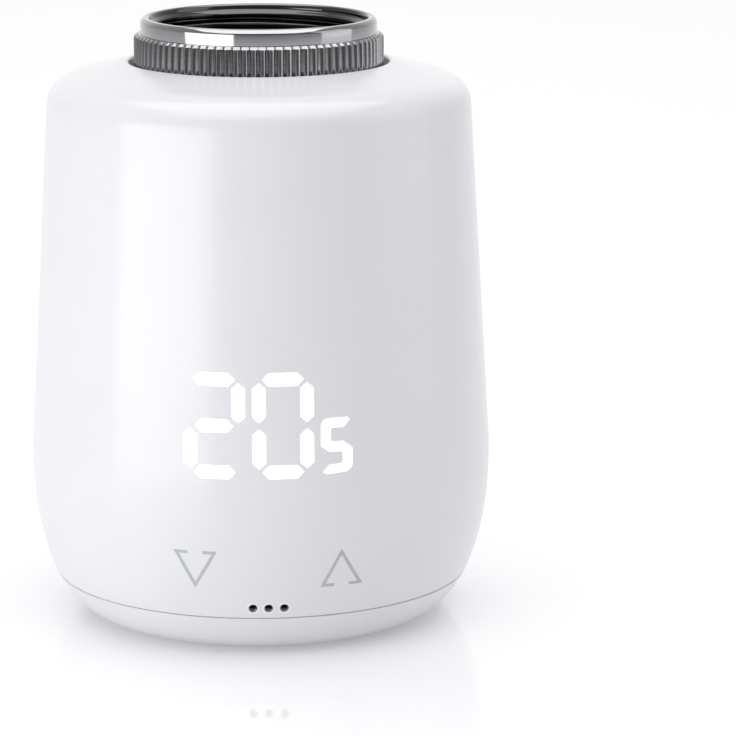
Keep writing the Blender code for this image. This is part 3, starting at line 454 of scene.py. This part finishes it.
def glow():
    """The display's light through the thin wall."""
    material = new_material("digit_light", (0.95, 0.95, 0.97), 0.3, Emission_Strength=0.55)
    shader_of(material).inputs["Emission Color"].default_value = (1.0, 1.0, 1.0, 1)
    vary(material, noise(material, 500, 2), (0.94, 0.94, 0.96), (0.97, 0.97, 0.98))
    return material


# Painted shade in the nut's bore: full within the first radius, none beyond the second
BORE_SHADE_FULL_RADIUS = 15.05
BORE_SHADE_END_RADIUS = 15.35


def chrome_with_painted_bore_shade():
    """Plating that is bright on the ring, with painted shade that makes it dark in the bore, by its
    distance from the axis.
    """
    material = new_material("chrome_with_painted_bore_shade", (0.5, 0.5, 0.51), 0.07, 1.0)
    coords = node(material, "ShaderNodeTexCoord")
    flat = node(
        material, "ShaderNodeVectorMath", operation="MULTIPLY", in_1=(1 / MM, 1 / MM, 0)
    )
    radius = node(material, "ShaderNodeVectorMath", operation="LENGTH")
    span = node(material, "ShaderNodeMapRange", in_1=BORE_SHADE_FULL_RADIUS, in_2=BORE_SHADE_END_RADIUS)
    link(material, coords, "Object", flat, 0)
    link(material, flat, 0, radius, 0)
    link(material, radius, "Value", span, 0)
    # painted shade: the bore's dark colour stands in for the shade inside the thread
    colour_by(material, span, 0, [(0.0, (0.10, 0.10, 0.105)), (1.0, (0.42, 0.42, 0.43))])
    marks = noise(material, 400, 4, (1, 1, 9))
    rough(material, marks, 0.06, 0.1)
    bump(material, marks, 0.00001, 0.3)
    return material


CHROME_WITH_PAINTED_BORE_SHADE = chrome_with_painted_bore_shade()
WINDING = winding()
BOARD = circuit_board()
PRINT = key_print()
GLOW = glow()
RIM = plastic("vent_rim", (0.93, 0.93, 0.95), 0.3)
# Painted shade for the insides of the vent holes
VENT_SHADE_PAINT = plastic("vent_shadow", (0.012, 0.012, 0.014), 0.7)


def repaint(material, *names):
    for name in names:
        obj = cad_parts[name]
        obj.data.materials.clear()
        obj.data.materials.append(material)


# ---------------------------------------------------------------- the shell and its cap

SEAM_CLOSING = 0.11  # the moulded edges close in on the joint from both sides
EDGE_BEVEL = 0.08
EDGE_CLEARANCE = 0.15  # no point of the outer curve comes nearer than this to an edge
MOULDING_STEPS = 256
SOCKET_RADIUS = 26.6  # takes the cap's plug
POT_WALL_RADIUS = 19.5
POT_RADIUS = 17.9
POT_FLOOR_Z = (70.9, 72.0)
POT_OPENING_RADIUS = 5.3  # the push rod comes through here
POT_SCREW_HOLE_RADIUS = 1.2
CAP_FLOOR_Z = 2.2
CAP_CENTRE_RADIUS = 2.0  # one flat face fills each side of the floor within this radius
PLUG_INSIDE_RADIUS = 24.9
PLUG_RADIUS = 26.3
PLUG_TOP_Z = 9.0
FOOT_GROOVE = [(20.2, 0.0), (20.0, 0.25), (18.6, 0.25), (18.4, 0.0)]
CAP_NOTCH = ((-3.6, 3.6), (-28, -23), (6.3, 12))
VENT_Z = 7.4
VENT_RADIUS = 0.6
VENT_PITCH = 2.1
VENT_CUT_Y = (-34, -23)
VENT_SIDES = 40
VENT_RIM_SHARP = 60
# How much wider than the vent each row of its rim is, and how proud of the shell
VENT_RIM_ROWS = ((0.0, -0.25), (0.0, 0.03), (0.1, 0.06), (0.22, 0.045), (0.3, -0.02))
# Where the dark discs of painted shade sit in the vent holes
SHADE_DISC_Y = (-27.6, -27.2)
SHADE_DISC_CLEARANCE = 0.02
SHADE_DISC_SIDES = 24


def make_shell():
    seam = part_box("outer_shell")[0].z / MM - SEAM_CLOSING
    outer = [p for p in WALL_CURVE if p[1] > seam + EDGE_CLEARANCE]
    edge = at_height(WALL_CURVE, seam)
    lip = [(edge, seam + EDGE_BEVEL), (edge - EDGE_BEVEL, seam)]
    socket = [(SOCKET_RADIUS, seam), (SOCKET_RADIUS, 9.7), (28.4, 11.2)]
    inner = [(WAIST[0] - 1.8, 19.0), (WAIST[0] - 2.0, WAIST[1]), (27.3, 70.2), (25.4, 73.0), (19.6, 74.5)]
    under, floor = POT_FLOOR_Z
    pot_floor = [(POT_WALL_RADIUS, under), (POT_OPENING_RADIUS, under), (POT_OPENING_RADIUS, floor)]
    pot_wall = [(POT_RADIUS, floor), (POT_RADIUS, 77.0), (18.05, 77.3)]
    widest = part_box("outer_shell")[1].x / MM

    def inside_box(r, z, a, row):
        return min(r, widest), z

    profile = [*outer, *lip, *socket, *inner, *pot_floor, *pot_wall]
    shell = spun("shell_body", profile, SHELL, MOULDING_STEPS, shape=inside_box)
    cutters = []
    for i in (-1, 0, 1):
        near, far = ((i * VENT_PITCH, y, VENT_Z) for y in VENT_CUT_Y)
        cutters.append(rod(f"vent_cut_{i}", VENT_RADIUS, near, far))
    for angle in SCREW_ANGLES:
        cutters.append(screw_hole(f"pot_cut_{angle}", POT_SCREW_HOLE_RADIUS, angle, 70, 73, 16))
    boolean_bake(shell, cutters)
    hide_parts("outer_shell")
    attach(shell, "housing")


def make_vents():
    """A raised ring round each vent, and a dark disc in its hole as painted shade."""
    for i in (-1, 0, 1):
        x = i * VENT_PITCH
        verts = []
        for wider, proud in VENT_RIM_ROWS:
            radius = VENT_RADIUS + wider
            for k in range(VENT_SIDES):
                a = TAU * k / VENT_SIDES
                verts.append(surface(x + radius * math.cos(a), VENT_Z + radius * math.sin(a), proud))
        faces = ring_faces(len(VENT_RIM_ROWS), VENT_SIDES)
        ring = finish_mesh(f"vent_rim_{i + 2}", verts, faces, RIM, VENT_RIM_SHARP)
        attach(ring, "housing")
        # a dark disc of painted shade in the hole, where its inside would be in shade
        near, far = ((x, y, VENT_Z) for y in SHADE_DISC_Y)
        dark_disc = rod(f"vent_gauze_{i + 2}", VENT_RADIUS - SHADE_DISC_CLEARANCE, near, far, VENT_SHADE_PAINT, SHADE_DISC_SIDES)
        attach(dark_disc, "housing")


def make_cap():
    seam = SEAM_Z - SEAM_HALF_GAP + SEAM_CLOSING
    foot = [p for p in foot_curve() if 0.01 < p[1] < seam - EDGE_CLEARANCE]
    edge = at_height(WALL_CURVE, seam)
    floor = [(CAP_CENTRE_RADIUS, CAP_FLOOR_Z), (22.0, CAP_FLOOR_Z), (PLUG_INSIDE_RADIUS, 5.2)]
    plug_top = [(PLUG_INSIDE_RADIUS, PLUG_TOP_Z), (PLUG_RADIUS - 0.3, PLUG_TOP_Z)]
    plug_side = [(PLUG_RADIUS, PLUG_TOP_Z - 0.3), (PLUG_RADIUS, seam)]
    outside = [(edge - EDGE_BEVEL, seam), (edge, seam - EDGE_BEVEL), *foot, (FOOT_RADIUS, 0.0)]
    under = [*FOOT_GROOVE, (CAP_CENTRE_RADIUS, 0.0)]
    profile = [*floor, *plug_top, *plug_side, *outside, *under]
    cap = spun("cap_body", profile, CAP, MOULDING_STEPS, closed=False)
    boolean_bake(cap, [box_cutter("cap_notch", *CAP_NOTCH)])
    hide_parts("end_cap")
    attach(cap, "end_cap")


# ---------------------------------------------------------------- display and keys

DIGIT_BOTTOM_Z = 25.8
DIGIT_HEIGHT = 14.2
DIGIT_LEFT = (-11.2, -2.1)
DIGIT_WIDTH = 8.2
DIGIT_SEGMENTS = ("adbge", "abcdef")  # the figures 2 and 0
STROKE = 1.82
SEGMENT_GAP = 0.42
MIDDLE_SHORTER = 0.25
FLAT_POINT = 0.95  # length of a segment's point, in half strokes
UPRIGHT_POINT = 0.85
SMALL_LEFT = 7.0
SMALL_RISE = 0.35
SMALL_WIDTH = 4.25
SMALL_HEIGHT = 7.5
SMALL_STROKE = 1.32
SMALL_MIDDLE = 0.54  # of the height
KEY_X = 9.78
KEY_Z = (10.3, 15.7)
KEY_HALF = 2.88
KEY_LINE = 0.43
KEY_GAP = 1.0
LIT_PROUD = 0.02
PRINT_PROUD = 0.012
PATCH_CELL = 0.6


def patch(name, outline, material, proud):
    """A thin piece lying on the shell's front inside a closed outline of (x, z) points."""
    bm = bmesh.new()
    ring = [bm.verts.new((x, 0, z)) for x, z in outline]
    bm.faces.new(ring)
    for axis, values in ((0, [x for x, _ in outline]), (2, [z for _, z in outline])):
        low, high = min(values), max(values)
        for i in range(1, int((high - low) / PATCH_CELL) + 1):
            place = [0, 0, 0]
            place[axis] = low + i * PATCH_CELL
            normal = [0, 0, 0]
            normal[axis] = 1
            geom = [*bm.verts, *bm.edges, *bm.faces]
            bmesh.ops.bisect_plane(bm, geom=geom, plane_co=place, plane_no=normal)
    bmesh.ops.triangulate(bm, faces=[f for f in bm.faces if len(f.verts) > 4])
    for vert in bm.verts:
        vert.co = Vector(surface(vert.co.x, vert.co.z, proud)) * MM
    bmesh.ops.recalc_face_normals(bm, faces=bm.faces)
    if sum(f.normal.y * f.calc_area() for f in bm.faces) > 0:
        bmesh.ops.reverse_faces(bm, faces=bm.faces)
    mesh = mesh_from(bm, name)
    mesh.shade_smooth()
    mesh.materials.append(material)
    obj = link_object(name, mesh)
    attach(obj, "housing")


def flat_segment(x0, x1, z):
    """A horizontal segment, pointed at both ends."""
    h = STROKE / 2
    left, right = x0 + h * FLAT_POINT, x1 - h * FLAT_POINT
    return [(x0, z), (left, z - h), (right, z - h), (x1, z), (right, z + h), (left, z + h)]


def upright_segment(x, z0, z1):
    """An upright segment, pointed at both ends."""
    h = STROKE / 2
    low, high = z0 + h * UPRIGHT_POINT, z1 - h * UPRIGHT_POINT
    return [(x, z0), (x + h, low), (x + h, high), (x, z1), (x - h, high), (x - h, low)]


def small_five():
    """The outline of the small figure 5, as (x, z) points."""
    x0, x1 = SMALL_LEFT, SMALL_LEFT + SMALL_WIDTH
    z0, z1 = DIGIT_BOTTOM_Z + SMALL_RISE, DIGIT_BOTTOM_Z + SMALL_RISE + SMALL_HEIGHT
    s, m = SMALL_STROKE, DIGIT_BOTTOM_Z + SMALL_RISE + SMALL_HEIGHT * SMALL_MIDDLE
    left_side = [(x0 + 0.9, z1), (x0 + 0.35, z1 - 0.2), (x0, z1 - 0.85), (x0, m - 0.25)]
    bowl_inside = [
        (x0 + 1.25, m - s * 0.5 - 0.45),
        (x1 - s - 0.25, m - s * 0.5 - 0.42),
        (x1 - s, m - s * 0.5 - 0.65),
        (x1 - s, z0 + s + 0.25),
        (x1 - s - 0.25, z0 + s),
        (x0 + 1.15, z0 + s - 0.05),
    ]
    bowl_outside = [
        (x0 + 0.25, z0 + 0.3),
        (x0 + 0.85, z0),
        (x1 - 0.75, z0 + 0.18),
        (x1 - 0.2, z0 + 0.6),
        (x1, z0 + 1.1),
        (x1, m - 0.75),
        (x1 - 1.25, m + s * 0.5 - 0.38),
    ]
    flag_inside = [
        (x0 + s + 0.25, m + s * 0.5 - 0.38),
        (x0 + s, m + s * 0.5 - 0.1),
        (x0 + s, z1 - s - 0.22),
        (x0 + s + 0.22, z1 - s),
    ]
    flag_end = [(x1 - 1.15, z1 - s), (x1 - 0.35, z1 - 0.35), (x1 - 0.75, z1)]
    return [*left_side, *bowl_inside, *bowl_outside, *flag_inside, *flag_end]


def make_digits():
    number = 0
    h, gap = STROKE / 2, SEGMENT_GAP
    low, high = DIGIT_BOTTOM_Z + h, DIGIT_BOTTOM_Z + DIGIT_HEIGHT - h
    mid = (low + high) / 2
    for left, lit in zip(DIGIT_LEFT, DIGIT_SEGMENTS):
        x0, x1 = left + h, left + DIGIT_WIDTH - h
        shapes = {
            "a": flat_segment(x0 + gap, x1 - gap, high),
            "g": flat_segment(x0 + gap + MIDDLE_SHORTER, x1 - gap - MIDDLE_SHORTER, mid),
            "d": flat_segment(x0 + gap, x1 - gap, low),
            "f": upright_segment(x0, mid + gap, high - gap),
            "b": upright_segment(x1, mid + gap, high - gap),
            "e": upright_segment(x0, low + gap, mid - gap),
            "c": upright_segment(x1, low + gap, mid - gap),
        }
        for key in lit:
            number += 1
            patch(f"lit_segment_{number}", shapes[key], GLOW, LIT_PROUD)
    patch("lit_small_digit", small_five(), GLOW, LIT_PROUD)


def make_keys():
    """Two printed triangles, each open in the middle of its flat side."""
    low, high = KEY_Z
    for name, x, flat, tip in (
        ("key_mark_down", -KEY_X, high, low),
        ("key_mark_up", KEY_X, low, high),
    ):
        s = 1 if tip > flat else -1
        slope = (high - low) / KEY_HALF
        inset = KEY_LINE * math.hypot(1, slope) / slope
        t = flat + s * KEY_LINE
        inner_x = KEY_HALF - KEY_LINE / slope - inset
        inner_tip = tip - s * inset * slope
        outside = [(-KEY_GAP, flat), (-KEY_HALF, flat), (0, tip), (KEY_HALF, flat), (KEY_GAP, flat)]
        inside = [(KEY_GAP, t), (inner_x, t), (0, inner_tip), (-inner_x, t), (-KEY_GAP, t)]
        outline = [(x + dx, z) for dx, z in (*outside, *inside)]
        patch(name, outline, PRINT, PRINT_PROUD)


# ---------------------------------------------------------------- the nut, neck and push rod

TOTAL_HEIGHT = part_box("union_nut")[1].z / MM
NECK_TOP_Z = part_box("valve_neck")[1].z / MM
NUT_BOTTOM_Z = 72.4
KNURL_RADIUS = 17.2
KNURL_TEETH = 88
KNURL_TOP_Z = 81.2
KNURL_INSIDE = 15.9
TOOTH_STEPS = 8
TOOTH_ROUNDNESS = 0.6  # an exponent: the lower it is, the wider each tooth's crest
KNURL_SHARP = 25
RIB_DEPTHS = {2: 0.35, 3: 0.5, 4: 0.5, 5: 0.15}  # by row of the knurled band
RIM_RADIUS = 16.3
RIM_ROUNDING = 0.18
MOUTH_RADIUS = 15.25
MOUTH_CHAMFER = (0.2, 0.22)
BODY_RADIUS = 15.95
NUT_HOLE_RADIUS = 12.4
NUT_STEPS = 224
NUT_SHARP = 55
THREAD_MINOR = 14.2
THREAD_DEPTH = 0.78
THREAD_MAJOR = THREAD_MINOR + THREAD_DEPTH
THREAD_PITCH = 1.5
THREAD_RELIEF_Z = (73.9, 74.9)
THREAD_START_Z = 75.0
THREAD_END_Z = TOTAL_HEIGHT - 0.55
THREAD_ROWS = 64
THREAD_RUN_IN = 0.5
THREAD_RUN_OUT = 0.7
NECK_STEPS = 144
NECK_FLATS = 3.85  # from the axis to each flat of the guide hole
GUIDE_REACH = 5.0  # rows within this radius belong to the guide hole
NECK_SCREW_HOLE_RADIUS = 1.15
ROD_STEPS = 96
ROD_SHARP = 35
ROD_ROUNDING = 0.22
ROD_FLATS = 3.5
ROD_RADIUS = 4.4
ROD_BORE_RADIUS = 1.75
ROD_BORE_TOP_Z = 72.3
SCREW_STEPS = 32
HEAD_HEIGHT = 1.1
SHANK_RADIUS = 0.9
GROOVE_RADIUS = 0.72
GROOVE_PITCH = 0.44
SLOT_HALF_WIDTH = 0.2
SLOT_HALF_LENGTH = 0.95
SLOT_DEPTH = 0.55


def make_nut():
    bottom, top = NUT_BOTTOM_Z, KNURL_TOP_Z
    band = [
        (KNURL_INSIDE, top),
        (KNURL_RADIUS - 0.62, top),
        (KNURL_RADIUS - 0.12, top - 0.35),
        (KNURL_RADIUS, top - 0.6),
        (KNURL_RADIUS, bottom + 0.6),
        (KNURL_RADIUS - 0.5, bottom),
        (KNURL_INSIDE, bottom),
    ]

    def ribs(r, z, a, row):
        phase = (a * KNURL_TEETH / TAU) % 1.0
        crest = 0.5 + 0.5 * math.cos(TAU * phase)
        return r - RIB_DEPTHS.get(row, 0.0) * (1 - crest**TOOTH_ROUNDNESS), z

    knurl = spun("nut_knurl", band, CHROME, KNURL_TEETH * TOOTH_STEPS, shape=ribs, sharp=KNURL_SHARP)
    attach(knurl, "union_nut")

    ring = [
        (MOUTH_RADIUS, TOTAL_HEIGHT),
        (RIM_RADIUS - 0.45, TOTAL_HEIGHT),
        (RIM_RADIUS, TOTAL_HEIGHT - 0.5),
        (RIM_RADIUS, top - 0.3),
        (BODY_RADIUS, top - 0.5),
    ]
    body = [
        (BODY_RADIUS, bottom + 0.3),
        (NUT_HOLE_RADIUS, bottom + 0.3),
        (NUT_HOLE_RADIUS, THREAD_RELIEF_Z[0]),
        (THREAD_MAJOR, THREAD_RELIEF_Z[0]),
        (THREAD_MAJOR, THREAD_RELIEF_Z[1]),
    ]
    run = THREAD_END_Z - THREAD_START_Z
    bore = [(THREAD_MAJOR, THREAD_START_Z + run * i / THREAD_ROWS) for i in range(THREAD_ROWS + 1)]
    below_bore = [*rounded(ring, RIM_ROUNDING), *body]
    bore_rows = range(len(below_bore), len(below_bore) + len(bore))

    def thread(r, z, a, row):
        if row not in bore_rows:
            return r, z
        turn = (z - THREAD_START_Z) / THREAD_PITCH - a / TAU
        crest = 0.5 - 0.5 * math.cos(TAU * turn)
        fade = min(1.0, (THREAD_END_Z - z) / THREAD_RUN_OUT, (z - THREAD_START_Z) / THREAD_RUN_IN)
        return r - THREAD_DEPTH * crest * max(0.0, fade), z

    chamfer = (MOUTH_RADIUS - MOUTH_CHAMFER[0], TOTAL_HEIGHT - MOUTH_CHAMFER[1])
    profile = [*below_bore, *bore, chamfer]
    nut = spun("nut_body", profile, CHROME_WITH_PAINTED_BORE_SHADE, NUT_STEPS, shape=thread, sharp=NUT_SHARP)
    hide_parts("union_nut")
    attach(nut, "union_nut")


def make_neck():
    top = NECK_TOP_Z
    seat = [(9.4, 73.75), (9.4, top - 0.25), (9.65, top), (13.3, top), (13.7, top - 0.4)]
    flange = [(13.7, 74.45), (13.55, 74.3), (12.0, 74.3), (12.0, 72.3)]
    guide_hole = [(4.75, 72.3), (4.75, 73.6)]

    def guide(r, z, a, row):
        return between_flats(r, a, NECK_FLATS) if r < GUIDE_REACH else r, z

    profile = [*seat, *flange, *guide_hole, (9.25, 73.6)]
    neck = spun("neck_body", profile, NECK, NECK_STEPS, shape=guide)
    cutters = [
        screw_hole(f"neck_cut_{angle}", NECK_SCREW_HOLE_RADIUS, angle, 71, 75, 20) for angle in SCREW_ANGLES
    ]
    boolean_bake(neck, cutters)
    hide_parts("valve_neck")
    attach(neck, "housing")


def make_push_rod():
    low, high = (v.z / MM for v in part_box("push_rod"))
    dish = [(AXIS_RADIUS, high - 0.15), (2.6, high - 0.15), (2.9, high)]
    side = [(ROD_RADIUS, high), (ROD_RADIUS, low)]
    bore = [(ROD_BORE_RADIUS, low), (ROD_BORE_RADIUS, ROD_BORE_TOP_Z), (AXIS_RADIUS, ROD_BORE_TOP_Z)]

    def flats(r, z, a, row):
        return between_flats(r, a, ROD_FLATS), z

    profile = rounded([*dish, *side, *bore], ROD_ROUNDING, 3)
    rod_body = spun("push_rod_body", profile, ACETAL, ROD_STEPS, shape=flats, sharp=ROD_SHARP)
    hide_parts("push_rod")
    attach(rod_body, "spindle")


def make_screw_heads():
    """Pan heads with a cross recess and a grooved shank, in place of the plain CAD screws."""
    for node_name in [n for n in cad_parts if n.startswith(("neck_screw", "gearbox_screw"))]:
        low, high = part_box(node_name)
        x, y = (low.x + high.x) / 2 / MM, (low.y + high.y) / 2 / MM
        top, tip = high.z / MM, low.z / MM
        seat = top - HEAD_HEIGHT
        head = bezier((AXIS_RADIUS, top), (0.9, top), (1.6, top - 0.25), (1.7, seat), 8)
        shank, z = [(SHANK_RADIUS, seat)], seat - 0.25
        while z > tip + 0.9:
            shank += [(SHANK_RADIUS, z), (GROOVE_RADIUS, z - GROOVE_PITCH / 2)]
            z -= GROOVE_PITCH
        point = [(0.75, tip + 0.6), (0.3, tip), (AXIS_RADIUS, tip)]
        profile = [*head, *shank, *point]
        screw = spun(node_name + "_detail", profile, SCREW_STEEL, SCREW_STEPS, at=(x, y))
        short_x, short_y = ((c - SLOT_HALF_WIDTH, c + SLOT_HALF_WIDTH) for c in (x, y))
        long_x, long_y = ((c - SLOT_HALF_LENGTH, c + SLOT_HALF_LENGTH) for c in (x, y))
        recess = (top - SLOT_DEPTH, top + 1)
        cross = box_cutter("cross", short_x, long_y, recess)
        other = box_cutter("cross_b", long_x, short_y, recess)
        boolean_bake(screw, [cross, other])
        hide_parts(node_name)
        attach(screw, "housing")


def repaint_all():
    repaint(FRAME, "chassis")
    repaint(COVER, "gearbox_cover")
    repaint(ACETAL, "drive_gear", "idler_gear_1", "idler_gear_2", "idler_gear_3")
    repaint(STEEL, "lead_screw", "thrust_washer", "motor_shaft")
    repaint(STEEL, "gear_axle_1", "gear_axle_2", "gear_axle_3")
    repaint(CAN_STEEL, "motor_can")
    repaint(SCREW_STEEL, "motor_screw_1", "motor_screw_2")
    repaint(BRASS, "motor_pinion")
    repaint(WINDING, "motor_armature")
    repaint(MAGNET, "motor_magnet_1", "motor_magnet_2")
    repaint(NICKEL, "bridge_contact_plate", "bridge_contact_spring", "contact_plate_positive")
    repaint(NICKEL, "contact_plate_negative", "contact_spring_negative")
    repaint(NICKEL, "touch_spring_down", "touch_spring_up", "radio_module")
    repaint(BLACK, "motor_end_bell")
    repaint(CHIP, "controller_chip", "motor_driver_chip")
    repaint(SENSOR, "temperature_sensor")
    repaint(CONNECTOR, "lead_connector")
    repaint(BOARD, "main_board")
    repaint(MASK_BLACK, "display_board", "display_light_mask")
    repaint(DIFFUSER, "display_diffuser")
    repaint(RED, "motor_lead_red", "battery_lead_red")
    repaint(DARK, "motor_lead_black", "battery_lead_black")
    for name, flip in (("battery_cell_1", False), ("battery_cell_2", True)):
        low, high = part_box(name)
        repaint(cell_wrap(low.z, high.z, flip), name)


make_shell()
make_vents()
make_cap()
make_digits()
make_keys()
make_nut()
make_neck()
make_push_rod()
make_screw_heads()
repaint_all()


# ---------------------------------------------------------------- floor, light and camera

FLOOR_HALF_SIZE = 4.0  # metres, as are FLOOR_DROP and the lamps' sizes and distances
FLOOR_DROP = 0.00002
FLOOR_GLOW = 0.16
# Brightness of the room from in front of the display (0) to behind it (1)
WORLD_STOPS = [
    (0.0, (0.14, 0.14, 0.144)),
    (0.5, (0.34, 0.34, 0.35)),
    (0.8, (0.50, 0.50, 0.51)),
    (1.0, (1.0, 1.0, 1.0)),
]
# name, azimuth, elevation, distance, width, height, power
SOFTBOXES = [
    ("softbox_left", -70, 14, 0.6, 0.78, 0.9, 0.10),
    ("strip_left", -50, 4, 0.24, 0.22, 0.116, 0.21),
    ("softbox_top", 0, 86, 1.1, 1.4, 1.4, 11.5),
    ("softbox_right", 80, 14, 0.7, 0.5, 0.9, 1.1),
]
LAMP_TARGET = Vector((0, 0, 0.04))
CAMERA_LENS = 173.89
CAMERA_SENSOR = 36.0
CAMERA_DISTANCE = 488.0  # millimetres from the valve axis, level
CAMERA_HEIGHT = 140.8
CAMERA_AZIMUTH = -1.6
CAMERA_PITCH = 12.364
CAMERA_PAN = 1.765
CAMERA_CLIP = (0.01, 20)


def make_floor():
    bm = bmesh.new()
    bmesh.ops.create_grid(bm, x_segments=8, y_segments=8, size=FLOOR_HALF_SIZE)
    mesh = mesh_from(bm, "floor")
    material = new_material("floor_gloss", (0.80, 0.80, 0.81), 0.06, IOR=1.7)
    shader = shader_of(material)
    shader.inputs["Emission Color"].default_value = (1, 1, 1, 1)
    shader.inputs["Emission Strength"].default_value = FLOOR_GLOW
    rough(material, noise(material, 14, 2), 0.05, 0.07)
    mesh.materials.append(material)
    floor = link_object("floor", mesh)
    floor.location.z = cad_box[0].z - FLOOR_DROP


def area_light(name, azimuth, elevation, distance, width, height, power):
    """A softbox. Azimuth 0 is in front of the display and 90 is on its right."""
    a, e = math.radians(azimuth), math.radians(elevation)
    data = bpy.data.lights.new(name, "AREA")
    data.energy = power
    data.shape = "RECTANGLE"
    data.size = width
    data.size_y = height
    light = link_object(name, data)
    away = Vector((math.sin(a) * math.cos(e), -math.cos(a) * math.cos(e), math.sin(e)))
    light.location = LAMP_TARGET + away * distance
    light.rotation_euler = (-away).to_track_quat("-Z", "Y").to_euler()
    return light


def keep_off(light, name):
    """The light leaves this object out, as a black flag beside the real lamp would."""
    shaded = bpy.data.collections.new(light.name + "_flagged")
    shaded.objects.link(bpy.data.objects[name])
    light.light_linking.receiver_collection = shaded
    for entry in shaded.collection_objects:
        entry.light_linking.link_state = "EXCLUDE"


def make_light():
    world = bpy.data.worlds.new("studio")
    bpy.context.scene.world = world
    world.use_nodes = True
    tree = world.node_tree
    background = tree.nodes["Background"]
    coords = tree.nodes.new("ShaderNodeTexCoord")
    split = tree.nodes.new("ShaderNodeSeparateXYZ")
    ramp = tree.nodes.new("ShaderNodeValToRGB")
    span = tree.nodes.new("ShaderNodeMapRange")
    span.inputs["From Min"].default_value = -1.0
    span.inputs["From Max"].default_value = 1.0
    tree.links.new(coords.outputs["Generated"], split.inputs[0])
    tree.links.new(split.outputs["Y"], span.inputs[0])
    tree.links.new(span.outputs[0], ramp.inputs["Fac"])
    set_stops(ramp, WORLD_STOPS)
    tree.links.new(ramp.outputs["Color"], background.inputs["Color"])
    background.inputs["Strength"].default_value = 1.0
    for softbox in SOFTBOXES:
        light = area_light(*softbox)
        if light.name == "strip_left":
            keep_off(light, "nut_knurl")


def make_camera():
    data = bpy.data.cameras.new("camera")
    data.sensor_width = CAMERA_SENSOR
    data.lens = CAMERA_LENS
    data.clip_start, data.clip_end = CAMERA_CLIP
    camera = link_object("camera", data)
    swing = math.radians(CAMERA_AZIMUTH)
    away = Vector((math.sin(swing), -math.cos(swing), 0)) * CAMERA_DISTANCE
    camera.location = (away + Vector((0, 0, CAMERA_HEIGHT))) * MM
    camera.rotation_euler = (math.radians(90 - CAMERA_PITCH), 0, swing - math.radians(CAMERA_PAN))
    bpy.context.scene.camera = camera


make_floor()
make_light()
make_camera()
bpy.context.scene.view_settings.view_transform = "Standard"
bpy.context.scene.view_settings.look = "None"
